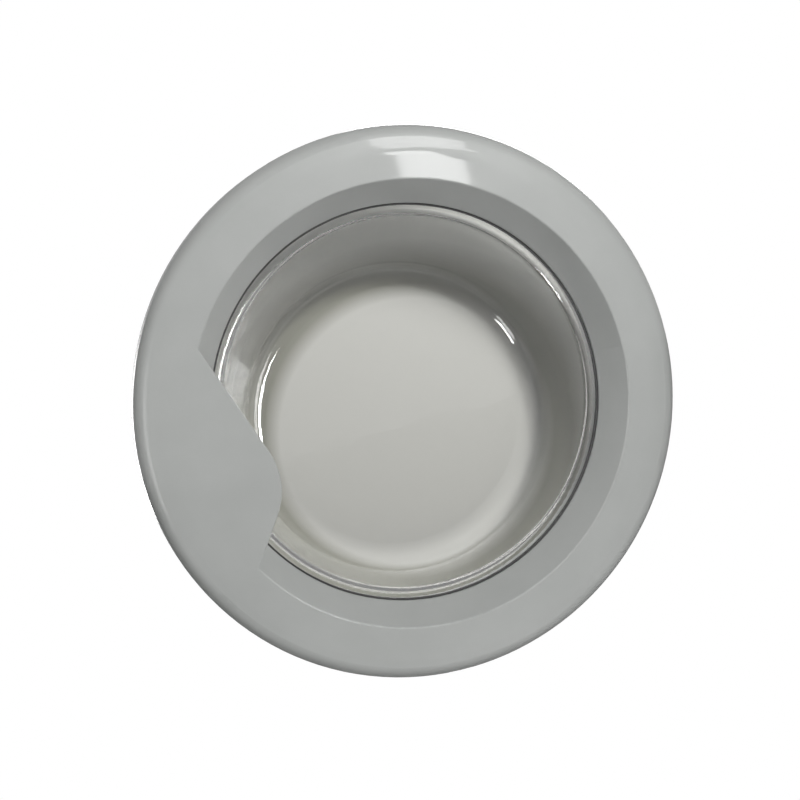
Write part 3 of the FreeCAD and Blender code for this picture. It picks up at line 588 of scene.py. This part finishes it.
@dataclass
class ScrewSets:
    """Every screw of the door: pan heads with a cross recess, seated on what they hold."""

    head_radius: float = 0.004
    head_height: float = 0.0024
    shank_radius: float = 0.002
    shank_length: float = 0.009
    recess_width: float = 0.0009
    recess_span: float = 0.0046
    recess_depth: float = 0.0013
    head_sides: int = 32
    shank_sides: int = 20
    weld: float = 1e-6
    turn_seed: int = 11
    frame_circle: float = 0.194
    frame_start: float = 22.5
    frame_count: int = 8
    frame_seat: float = -0.007
    carrier_seat: float = -0.028
    leaf_seat: float = -0.0185
    carrier_places: tuple[tuple[float, float], ...] = ((-0.194, 0.048), (-0.194, -0.048))
    leaf_places: tuple[tuple[float, float], ...] = (
        (0.181, 0.034),
        (0.196, 0.014),
        (0.181, -0.034),
        (0.196, -0.014),
    )
    dome: tuple[tuple[float, float], ...] = ((0.45, 1.0), (0.25, 0.95), (0.18, 0.86), (0.12, 0.68))

    def tree(self) -> bpy.types.NodeTree:
        """Builds the tree that sets one screw on every point.

        Returns:
            The geometry node tree.
        """
        graph = Graph(bpy.data.node_groups.new("screw_set", "GeometryNodeTree"))
        graph.socket("Geometry", "Geometry", True)
        graph.socket("Head Radius", "Float", True, self.head_radius)
        graph.socket("Head Height", "Float", True, self.head_height)
        graph.socket("Shank Radius", "Float", True, self.shank_radius)
        graph.socket("Shank Length", "Float", True, self.shank_length)
        graph.socket("Recess Span", "Float", True, self.recess_span)
        graph.socket("Recess Width", "Float", True, self.recess_width)
        graph.socket("Material", "Material", True)
        graph.socket("Geometry", "Geometry", False)
        given = graph.add("NodeGroupInput")
        result = graph.add("NodeGroupOutput")

        disc = graph.add("GeometryNodeMeshCircle", {"Vertices": self.head_sides}, fill_type="NGON")
        graph.link(given.outputs["Head Radius"], disc.inputs["Radius"])
        shape, top = disc.outputs["Mesh"], None
        for share, narrowing in self.dome:
            rise = graph.add("ShaderNodeMath", operation="MULTIPLY")
            graph.link(given.outputs["Head Height"], rise.inputs[0])
            rise.inputs[1].default_value = share
            step = graph.add("GeometryNodeExtrudeMesh", mode="FACES")
            graph.link(shape, step.inputs["Mesh"])
            graph.link(rise.outputs["Value"], step.inputs["Offset Scale"])
            if top is not None:
                graph.link(top, step.inputs["Selection"])
            narrow = graph.add("GeometryNodeScaleElements", {"Scale": narrowing}, domain="FACE")
            graph.link(step.outputs["Mesh"], narrow.inputs["Geometry"])
            graph.link(step.outputs["Top"], narrow.inputs["Selection"])
            shape, top = narrow.outputs["Geometry"], step.outputs["Top"]
        under = graph.add("GeometryNodeMeshCircle", {"Vertices": self.head_sides}, fill_type="NGON")
        graph.link(given.outputs["Head Radius"], under.inputs["Radius"])
        turned = graph.add("GeometryNodeFlipFaces")
        graph.link(under.outputs["Mesh"], turned.inputs["Mesh"])
        closed = graph.add("GeometryNodeJoinGeometry")
        graph.link(shape, closed.inputs["Geometry"])
        graph.link(turned.outputs["Mesh"], closed.inputs["Geometry"])
        head = graph.add("GeometryNodeMergeByDistance", {"Distance": self.weld})
        graph.link(closed.outputs["Geometry"], head.inputs["Geometry"])

        cutter = graph.add("GeometryNodeJoinGeometry")
        for across in (False, True):
            size = graph.add("ShaderNodeCombineXYZ", {"Z": 2 * self.recess_depth})
            graph.link(given.outputs["Recess Span"], size.inputs["Y" if across else "X"])
            graph.link(given.outputs["Recess Width"], size.inputs["X" if across else "Y"])
            bar = graph.add("GeometryNodeMeshCube")
            graph.link(size.outputs["Vector"], bar.inputs["Size"])
            graph.link(bar.outputs["Mesh"], cutter.inputs["Geometry"])
        up = graph.add("ShaderNodeCombineXYZ")
        graph.link(given.outputs["Head Height"], up.inputs["Z"])
        raised = graph.add("GeometryNodeTransform")
        graph.link(cutter.outputs["Geometry"], raised.inputs["Geometry"])
        graph.link(up.outputs["Vector"], raised.inputs["Translation"])
        recess = graph.add("GeometryNodeMeshBoolean", operation="DIFFERENCE", solver="EXACT")
        recess.inputs["Self Intersection"].default_value = True
        graph.link(head.outputs["Geometry"], recess.inputs["Mesh 1"])
        graph.link(raised.outputs["Geometry"], recess.inputs["Mesh 2"])

        shank = graph.add("GeometryNodeMeshCylinder", {"Vertices": self.shank_sides})
        graph.link(given.outputs["Shank Radius"], shank.inputs["Radius"])
        graph.link(given.outputs["Shank Length"], shank.inputs["Depth"])
        half = graph.add("ShaderNodeMath", operation="MULTIPLY")
        half.inputs[1].default_value = -0.5
        graph.link(given.outputs["Shank Length"], half.inputs[0])
        down = graph.add("ShaderNodeCombineXYZ")
        graph.link(half.outputs["Value"], down.inputs["Z"])
        lowered = graph.add("GeometryNodeTransform")
        graph.link(shank.outputs["Mesh"], lowered.inputs["Geometry"])
        graph.link(down.outputs["Vector"], lowered.inputs["Translation"])
        screw = graph.add("GeometryNodeJoinGeometry")
        graph.link(recess.outputs["Mesh"], screw.inputs["Geometry"])
        graph.link(lowered.outputs["Geometry"], screw.inputs["Geometry"])

        turn = graph.add("FunctionNodeRandomValue", {"Seed": self.turn_seed}, data_type="FLOAT")
        turn.inputs[3].default_value = math.pi / 2
        angles = graph.add("ShaderNodeCombineXYZ", {"X": -math.pi / 2})
        graph.link(turn.outputs[1], angles.inputs["Y"])
        each = graph.add("GeometryNodeInstanceOnPoints")
        graph.link(given.outputs["Geometry"], each.inputs["Points"])
        graph.link(screw.outputs["Geometry"], each.inputs["Instance"])
        graph.link(angles.outputs["Vector"], each.inputs["Rotation"])
        real = graph.add("GeometryNodeRealizeInstances")
        graph.link(each.outputs["Instances"], real.inputs["Geometry"])
        finish = graph.add("GeometryNodeSetMaterial")
        graph.link(real.outputs["Geometry"], finish.inputs["Geometry"])
        graph.link(given.outputs["Material"], finish.inputs["Material"])
        graph.link(finish.outputs["Geometry"], result.inputs["Geometry"])
        return graph.tree

    def frame_places(self) -> tuple[tuple[float, float], ...]:
        """The frame screws' places, evenly round the door's axis.

        Returns:
            X from the axis and Z of each screw.
        """
        step = 360 / self.frame_count
        angles = [math.radians(self.frame_start + i * step) for i in range(self.frame_count)]
        return tuple((self.frame_circle * math.cos(a), self.frame_circle * math.sin(a)) for a in angles)

    def build(self, palette: Palette) -> list[bpy.types.Object]:
        """Makes the three sets of screws.

        Args:
            palette: the finishes.

        Returns:
            The new pieces.
        """
        tree = self.tree()
        sets = (
            ("frame_screw_heads", "frame_screws", self.frame_places(), self.frame_seat),
            ("carrier_screw_heads", "carrier_screws", self.carrier_places, self.carrier_seat),
            ("leaf_screw_heads", "hinge_leaf_screws", self.leaf_places, self.leaf_seat),
        )
        made = []
        for name, node, places, seat in sets:
            points = bpy.data.meshes.new(f"{name}_places")
            points.from_pydata([(DOOR_AXIS_X + x, seat, z) for x, z in places], [], [])
            piece = bake_tree(name, points, tree, {"Material": palette.materials[Slot.BRIGHT]})
            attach(piece, Body.DOOR.value)
            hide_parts(node)
            made.append(piece)
        return made


@dataclass
class LatchSprings:
    """The two torsion springs on the latch pin, as close coils of round wire with their arms."""

    pin_x: float = DOOR_AXIS_X - 0.194
    pin_y: float = -0.022
    wire_radius: float = 0.0007
    coil_radius: float = 0.0039
    coil_near: float = 0.0104
    coil_far: float = 0.0201
    turns: float = 6.25
    tail: float = 0.0093
    hook_side: float = 0.00472
    hook_arm: float = 0.009
    lever_front: float = -0.00372
    lever_arm: float = 0.014
    points_per_turn: int = 28
    wire_sides: int = 12

    def tree(self) -> bpy.types.NodeTree:
        """Builds the tree that winds a coil and sweeps wire along it and along the given edges.

        Returns:
            The geometry node tree.
        """
        graph = Graph(bpy.data.node_groups.new("torsion_spring", "GeometryNodeTree"))
        graph.socket("Geometry", "Geometry", True)
        graph.socket("Wire Radius", "Float", True, self.wire_radius)
        graph.socket("Coil Radius", "Float", True, self.coil_radius)
        graph.socket("Coil Height", "Float", True, self.coil_far - self.coil_near)
        graph.socket("Turns", "Float", True, self.turns)
        graph.socket("Start", "Vector", True)
        graph.socket("Material", "Material", True)
        graph.socket("Geometry", "Geometry", False)
        given = graph.add("NodeGroupInput")
        result = graph.add("NodeGroupOutput")
        coil = graph.add("GeometryNodeCurveSpiral", {"Resolution": self.points_per_turn})
        for socket in ("Start Radius", "End Radius"):
            graph.link(given.outputs["Coil Radius"], coil.inputs[socket])
        graph.link(given.outputs["Coil Height"], coil.inputs["Height"])
        graph.link(given.outputs["Turns"], coil.inputs["Rotations"])
        moved = graph.add("GeometryNodeTransform")
        graph.link(coil.outputs["Curve"], moved.inputs["Geometry"])
        graph.link(given.outputs["Start"], moved.inputs["Translation"])
        arms = graph.add("GeometryNodeMeshToCurve")
        graph.link(given.outputs["Geometry"], arms.inputs["Mesh"])
        path = graph.add("GeometryNodeJoinGeometry")
        graph.link(moved.outputs["Geometry"], path.inputs["Geometry"])
        graph.link(arms.outputs["Curve"], path.inputs["Geometry"])
        section = graph.add("GeometryNodeCurvePrimitiveCircle", {"Resolution": self.wire_sides})
        graph.link(given.outputs["Wire Radius"], section.inputs["Radius"])
        wire = graph.add("GeometryNodeCurveToMesh", {"Fill Caps": True})
        graph.link(path.outputs["Geometry"], wire.inputs["Curve"])
        graph.link(section.outputs["Curve"], wire.inputs["Profile Curve"])
        real = graph.add("GeometryNodeRealizeInstances")
        graph.link(wire.outputs["Mesh"], real.inputs["Geometry"])
        finish = graph.add("GeometryNodeSetMaterial")
        graph.link(real.outputs["Geometry"], finish.inputs["Geometry"])
        graph.link(given.outputs["Material"], finish.inputs["Material"])
        graph.link(finish.outputs["Geometry"], result.inputs["Geometry"])
        return graph.tree

    def arms(self, name: str, runs: list[list[Point]]) -> bpy.types.Mesh:
        """The straight runs of a spring's wire as edges.

        Args:
            name: the mesh's name.
            runs: lists of points from the latch pin's middle.

        Returns:
            The mesh of edges, in place.
        """
        mesh = bpy.data.meshes.new(name)
        points, edges = [], []
        for run in runs:
            edges += [(len(points) + i, len(points) + i + 1) for i in range(len(run) - 1)]
            points += [(self.pin_x + x, self.pin_y + y, z) for x, y, z in run]
        mesh.from_pydata(points, edges, [])
        return mesh

    def build(self, palette: Palette) -> list[bpy.types.Object]:
        """Makes both springs.

        Args:
            palette: the finishes.

        Returns:
            The new pieces.
        """
        tree = self.tree()
        near, far, coil = self.coil_near, self.coil_far, self.coil_radius
        hook_runs = [
            [(-self.tail, coil, -far), (0.0, coil, -far)],
            [
                (self.hook_side, 0.0, -near),
                (self.hook_side, self.hook_arm, -near),
                (self.hook_side, self.hook_arm, 0.0),
            ],
        ]
        lever_runs = [
            [(-self.tail, coil, far), (0.0, coil, far)],
            [(0.0, self.lever_front, near), (self.lever_arm, self.lever_front, near)],
        ]
        made = []
        for name, node, body, runs, low in (
            ("hook_spring_wire", "hook_spring", Body.HOOK, hook_runs, -far),
            ("lever_spring_wire", "lever_spring", Body.LEVER, lever_runs, near),
        ):
            values = {
                "Start": (self.pin_x, self.pin_y, low),
                "Material": palette.materials[Slot.SPRING],
            }
            piece = bake_tree(name, self.arms(f"{name}_runs", runs), tree, values)
            for face in piece.data.polygons:
                face.use_smooth = True
            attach(piece, body.value)
            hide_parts(node)
            made.append(piece)
        return made


@dataclass
class Lamp:
    """A soft rectangular lamp, placed from the door's middle in the photograph's right, up and near."""

    name: str
    right: float
    up: float
    near: float
    width: float
    height: float
    watts: float
    light: Light = Light.BOTH
    passes: tuple[str, ...] = ()


@dataclass
class Studio:
    """Backdrop, board, floor, lamps and camera."""

    middle: Point = (DOOR_AXIS_X, -0.041, 0.0)
    roll: float = 14.8
    camera_place: Point = (-0.4240, -1.1560, 0.1488)
    lens: float = 65.8
    sensor: float = 36.0
    shift_x: float = -0.0222
    shift_y: float = 0.0068
    backdrop_y: float = 0.3
    board_y: float = 0.0645
    board_radius: float = 0.195
    board_sides: int = 128
    floor_z: float = -0.62
    reach: float = 4.0
    board_roughness: float = 0.9
    # centre, reach and colour stops of the board's colour: white, with a painted shadow ring for the bowl
    # wall's shade
    painted_shadow_x: float = DOOR_AXIS_X + 0.013
    painted_shadow_z: float = -0.036
    painted_shadow_reach: float = 0.2
    board_white_and_painted_shadow: tuple[tuple[float, Colour], ...] = (
        (0.116, (0.88, 0.88, 0.85)),
        (0.130, (0.40, 0.40, 0.35)),
        (0.145, (0.44, 0.44, 0.39)),
        (0.168, (0.90, 0.90, 0.86)),
    )
    floor_colour: Colour = (0.35, 0.35, 0.35)
    floor_shadow: Colour = (0.25, 0.25, 0.25)
    floor_roughness: float = 0.8
    floor_glow: float = 0.85
    floor_near: float = 0.7
    floor_far: float = 1.6
    ambient: float = 0.03
    room: float = 0.5
    ends_start: float = 0.3
    ends_full: float = 0.6
    bounces: int = 24
    lamps: list[Lamp] = field(
        default_factory=lambda: [
            Lamp("key", 0.26, 0.95, 1.10, 0.45, 0.4, 17.8, Light.COLOUR),
            Lamp("board_key", 0.26, 0.95, 1.10, 0.45, 0.4, 6.0, Light.COLOUR, (RING,)),
            Lamp("left_window", -0.95, -0.25, 1.15, 0.4, 0.7, 2.2, Light.BOTH, (BOARD, GLASS)),
            Lamp("left_fill", -1.35, 0.05, 0.75, 0.5, 0.9, 4.5, Light.COLOUR, (BOARD,)),
            Lamp("low_fill", 0.25, -0.50, 0.70, 0.6, 0.1, 2.0, Light.COLOUR, (BOARD, GLASS)),
            Lamp("ring_top", 0.38, 0.36, 1.5, 0.12, 0.30, 1.8, Light.BOTH, (BOARD, GLASS)),
            Lamp("right_window", 0.57, -0.12, 0.64, 0.22, 0.24, 8.0, Light.GLINT, (BOARD, RING)),
            Lamp("low_spark", -0.38, -0.55, 0.56, 0.18, 0.16, 3.0, Light.GLINT, (BOARD, RING)),
            Lamp("high_spark", 0.34, 0.75, 1.30, 0.3, 0.3, 2.5, Light.SHINE, (BOARD, GLASS)),
            Lamp("rear_high", 0.5, 0.6, -1.5, 0.6, 0.6, 12.0, Light.BOTH, (BOARD, FLOOR)),
            Lamp("rear_low", -0.6, -0.2, -1.5, 0.5, 0.6, 7.0, Light.BOTH, (BOARD, FLOOR)),
        ]
    )
    things: dict[str, bpy.types.Object] = field(default_factory=dict)

    def axes(self) -> tuple[Vector, Vector]:
        """The photograph's right and up, in the door's plane.

        Returns:
            Both as unit vectors.
        """
        angle = math.radians(self.roll)
        right = Vector((math.cos(angle), 0.0, -math.sin(angle)))
        up = Vector((math.sin(angle), 0.0, math.cos(angle)))
        return right, up

    def build(self) -> None:
        """Makes all of it."""
        self._world()
        self._backdrop()
        self._board()
        self._floor()
        for lamp in self.lamps:
            self._lamp(lamp)
        self._camera()
        scene = bpy.context.scene
        scene.view_settings.view_transform = "Standard"
        scene.cycles.max_bounces = self.bounces
        scene.cycles.glossy_bounces = self.bounces
        scene.cycles.transmission_bounces = self.bounces

    def _world(self) -> None:
        """Dim even light that is seen brighter in reflections and through the glass.

        It is white to the camera, and through the glass towards the front and the back.
        """
        world = bpy.data.worlds.new("studio")
        world.use_nodes = True
        bpy.context.scene.world = world
        graph = Graph(world.node_tree)
        world.node_tree.nodes.clear()
        rays = graph.add("ShaderNodeLightPath")
        place = graph.add("ShaderNodeTexCoord")
        parts = graph.add("ShaderNodeSeparateXYZ")
        graph.link(place.outputs["Generated"], parts.inputs["Vector"])
        along = graph.add("ShaderNodeMath", operation="ABSOLUTE")
        graph.link(parts.outputs["Y"], along.inputs[0])
        ends = graph.add("ShaderNodeMapRange", {"From Min": self.ends_start, "From Max": self.ends_full})
        graph.link(along.outputs["Value"], ends.inputs["Value"])
        through = graph.add("ShaderNodeMath", operation="MULTIPLY")
        graph.link(rays.outputs["Is Transmission Ray"], through.inputs[0])
        graph.link(ends.outputs["Result"], through.inputs[1])
        seen = graph.add("ShaderNodeMath", operation="MAXIMUM")
        graph.link(rays.outputs["Is Camera Ray"], seen.inputs[0])
        graph.link(through.outputs["Value"], seen.inputs[1])
        soft = graph.add("ShaderNodeBackground", {"Color": WHITE, "Strength": self.ambient})
        room = graph.add("ShaderNodeBackground", {"Color": WHITE, "Strength": self.room})
        white = graph.add("ShaderNodeBackground", {"Color": WHITE, "Strength": 1.0})
        plain = graph.add("ShaderNodeMixShader")
        mirrored = graph.add("ShaderNodeMath", operation="MAXIMUM")
        graph.link(rays.outputs["Is Transmission Ray"], mirrored.inputs[0])
        graph.link(rays.outputs["Is Glossy Ray"], mirrored.inputs[1])
        graph.link(mirrored.outputs["Value"], plain.inputs["Fac"])
        graph.link(soft.outputs["Background"], plain.inputs[1])
        graph.link(room.outputs["Background"], plain.inputs[2])
        mix = graph.add("ShaderNodeMixShader")
        graph.link(seen.outputs["Value"], mix.inputs["Fac"])
        graph.link(plain.outputs["Shader"], mix.inputs[1])
        graph.link(white.outputs["Background"], mix.inputs[2])
        result = graph.add("ShaderNodeOutputWorld")
        graph.link(mix.outputs["Shader"], result.inputs["Surface"])

    def _plane(self, name: str, corners: list[Point], material: bpy.types.Material) -> None:
        """Makes a flat piece of the stage.

        Args:
            name: its name.
            corners: its corners, in order.
            material: its finish.
        """
        mesh = bpy.data.meshes.new(name)
        mesh.from_pydata(corners, [], [tuple(range(len(corners)))])
        mesh.materials.append(material)
        plane = bpy.data.objects.new(name, mesh)
        bpy.context.scene.collection.objects.link(plane)
        self.things[name] = plane

    def _backdrop(self) -> None:
        """The white behind everything, which only the camera meets and only from the front."""
        material = bpy.data.materials.new("white_backdrop")
        material.use_nodes = True
        graph = Graph(material.node_tree)
        material.node_tree.nodes.remove(material.node_tree.nodes["Principled BSDF"])
        white = graph.add("ShaderNodeEmission", {"Color": WHITE, "Strength": 1.0})
        clear = graph.add("ShaderNodeBsdfTransparent")
        rays = graph.add("ShaderNodeLightPath")
        side = graph.add("ShaderNodeNewGeometry")
        front = graph.add("ShaderNodeMath", operation="SUBTRACT")
        graph.link(rays.outputs["Is Camera Ray"], front.inputs[0])
        graph.link(side.outputs["Backfacing"], front.inputs[1])
        seen = graph.add("ShaderNodeMixShader")
        graph.link(front.outputs["Value"], seen.inputs["Fac"])
        graph.link(clear.outputs["BSDF"], seen.inputs[1])
        graph.link(white.outputs["Emission"], seen.inputs[2])
        graph.link(seen.outputs["Shader"], material.node_tree.nodes["Material Output"].inputs["Surface"])
        r, y = self.reach, self.backdrop_y
        self._plane("backdrop", [(-r, y, -r), (r, y, -r), (r, y, r), (-r, y, r)], material)

    def _board(self) -> None:
        """The round board close behind the bowl, there only for what is seen through the glass.

        Its colour is white behind the bowl's bottom, with a painted shadow: a soft grey ring behind the
        bowl's wall, standing in for the shade the wall casts on the board.
        """
        material = bpy.data.materials.new("white_board_with_painted_shadow")
        material.use_nodes = True
        graph = Graph(material.node_tree)
        shader = material.node_tree.nodes["Principled BSDF"]
        shader.inputs["Roughness"].default_value = self.board_roughness
        # painted shadow: the board's colour turns grey in a ring, by distance from the centre below
        place = graph.add("ShaderNodeTexCoord")
        away = graph.add("ShaderNodeVectorMath", operation="DISTANCE")
        away.inputs[1].default_value = (self.painted_shadow_x, self.board_y, self.painted_shadow_z)
        graph.link(place.outputs["Object"], away.inputs[0])
        share = graph.add("ShaderNodeMath", operation="DIVIDE")
        share.inputs[1].default_value = self.painted_shadow_reach
        graph.link(away.outputs["Value"], share.inputs[0])
        painted_shadow_ramp = graph.add("ShaderNodeValToRGB")
        stops = painted_shadow_ramp.color_ramp.elements
        for distance, colour in self.board_white_and_painted_shadow:
            stops.new(distance / self.painted_shadow_reach).color = (*colour, 1.0)
        stops.remove(stops[-1])
        stops.remove(stops[0])
        graph.link(share.outputs["Value"], painted_shadow_ramp.inputs["Fac"])
        graph.link(painted_shadow_ramp.outputs["Color"], shader.inputs["Base Color"])
        clear = graph.add("ShaderNodeBsdfTransparent")
        rays = graph.add("ShaderNodeLightPath")
        side = graph.add("ShaderNodeNewGeometry")
        absent = side.outputs["Backfacing"]
        for ray in ("Is Camera Ray", "Is Shadow Ray", "Is Diffuse Ray"):
            either = graph.add("ShaderNodeMath", operation="MAXIMUM")
            graph.link(absent, either.inputs[0])
            graph.link(rays.outputs[ray], either.inputs[1])
            absent = either.outputs["Value"]
        both = graph.add("ShaderNodeMixShader")
        graph.link(absent, both.inputs["Fac"])
        graph.link(shader.outputs["BSDF"], both.inputs[1])
        graph.link(clear.outputs["BSDF"], both.inputs[2])
        graph.link(both.outputs["Shader"], material.node_tree.nodes["Material Output"].inputs["Surface"])
        r, y = self.board_radius, self.board_y
        turns = [math.tau * i / self.board_sides for i in range(self.board_sides)]
        corners = [(DOOR_AXIS_X + r * math.cos(turn), y, r * math.sin(turn)) for turn in turns]
        self._plane(BOARD, corners, material)

    def _floor(self) -> None:
        """The pale floor, all but white where it is seen, with the door's shadow on it."""
        material = bpy.data.materials.new("pale_floor")
        material.use_nodes = True
        graph = Graph(material.node_tree)
        shader = material.node_tree.nodes["Principled BSDF"]
        shader.inputs["Roughness"].default_value = self.floor_roughness
        shader.inputs["Base Color"].default_value = (*self.floor_colour, 1.0)
        place = graph.add("ShaderNodeTexCoord")
        away = graph.add("ShaderNodeVectorMath", operation="LENGTH")
        graph.link(place.outputs["Object"], away.inputs[0])
        fade = graph.add("ShaderNodeMapRange", {"From Min": self.floor_near, "From Max": self.floor_far})
        fade.inputs["To Min"].default_value = self.floor_glow
        graph.link(away.outputs["Value"], fade.inputs["Value"])
        glow = graph.add("ShaderNodeEmission", {"Color": WHITE})
        graph.link(fade.outputs["Result"], glow.inputs["Strength"])
        shadowed = graph.add("ShaderNodeBsdfDiffuse", {"Color": (*self.floor_shadow, 1.0)})
        pale = graph.add("ShaderNodeAddShader")
        graph.link(glow.outputs["Emission"], pale.inputs[0])
        graph.link(shadowed.outputs["BSDF"], pale.inputs[1])
        rays = graph.add("ShaderNodeLightPath")
        seen = graph.add("ShaderNodeMath", operation="MAXIMUM")
        graph.link(rays.outputs["Is Camera Ray"], seen.inputs[0])
        graph.link(rays.outputs["Is Transmission Ray"], seen.inputs[1])
        both = graph.add("ShaderNodeMixShader")
        graph.link(seen.outputs["Value"], both.inputs["Fac"])
        graph.link(shader.outputs["BSDF"], both.inputs[1])
        graph.link(pale.outputs["Shader"], both.inputs[2])
        graph.link(both.outputs["Shader"], material.node_tree.nodes["Material Output"].inputs["Surface"])
        r, z = self.reach, self.floor_z
        self._plane(FLOOR, [(-r, -r, z), (r, -r, z), (r, r, z), (-r, r, z)], material)

    def _lamp(self, lamp: Lamp) -> None:
        """Adds one lamp, aimed at the door's middle.

        Args:
            lamp: what to add.
        """
        data = bpy.data.lights.new(lamp.name, "AREA")
        data.shape = "RECTANGLE"
        data.size, data.size_y = lamp.width, lamp.height
        data.energy = lamp.watts
        thing = bpy.data.objects.new(lamp.name, data)
        thing.visible_diffuse = lamp.light in (Light.BOTH, Light.COLOUR)
        thing.visible_glossy = lamp.light is not Light.COLOUR
        thing.visible_transmission = lamp.light is Light.GLINT
        if lamp.light is Light.GLINT:
            self._mirrored_only(data)
        if lamp.passes:
            passed = bpy.data.collections.new(f"{lamp.name}_passes")
            for name in lamp.passes:
                passed.objects.link(self.things[name])
            for entry in passed.collection_objects:
                entry.light_linking.link_state = "EXCLUDE"
            thing.light_linking.receiver_collection = passed
        right, up = self.axes()
        middle = Vector(self.middle)
        thing.location = middle + right * lamp.right + up * lamp.up + Vector((0.0, -lamp.near, 0.0))
        thing.rotation_euler = (middle - thing.location).to_track_quat("-Z", "Y").to_euler()
        bpy.context.scene.collection.objects.link(thing)

    @staticmethod
    def _mirrored_only(data: bpy.types.Light) -> None:
        """Puts a lamp out for rays that have met no mirroring face, so that it never shows through glass.

        Args:
            data: the lamp.
        """
        data.use_nodes = True
        graph = Graph(data.node_tree)
        rays = graph.add("ShaderNodeLightPath")
        mirrored = graph.add("ShaderNodeMath", operation="MINIMUM")
        graph.link(rays.outputs["Glossy Depth"], mirrored.inputs[0])
        mirrored.inputs[1].default_value = 1.0
        graph.link(mirrored.outputs["Value"], data.node_tree.nodes["Emission"].inputs["Strength"])

    def _camera(self) -> None:
        """Adds the camera at the photograph's viewing angle."""
        data = bpy.data.cameras.new("photo_camera")
        data.lens = self.lens
        data.sensor_width = self.sensor
        data.shift_x, data.shift_y = self.shift_x, self.shift_y
        camera = bpy.data.objects.new("photo_camera", data)
        place = Vector(self.camera_place)
        ahead = (Vector(self.middle) - place).normalized()
        right = ahead.cross(self.axes()[1]).normalized()
        up = right.cross(ahead)
        camera.matrix_world = Matrix.Translation(place) @ Matrix((right, up, -ahead)).transposed().to_4x4()
        bpy.context.scene.collection.objects.link(camera)
        bpy.context.scene.camera = camera


def main() -> None:
    """Builds the looks in order and reports each piece."""
    logging.basicConfig(level=logging.INFO, format="%(name)s: %(message)s")
    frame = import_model()
    Studio(things={name: frame["nodes"][name] for name in (GLASS, RING)}).build()
    palette = Palette()
    for slot, nodes in NODE_SLOTS.items():
        for node in nodes:
            palette.dress(frame["nodes"][node], slot)
            LOG.info("%s keeps its solid, finish %s", node, slot.value)
    for piece in ScrewSets().build(palette) + LatchSprings().build(palette):
        LOG.info("%s made, %d faces", piece.name, len(piece.data.polygons))


if __name__ == "__main__":
    main()
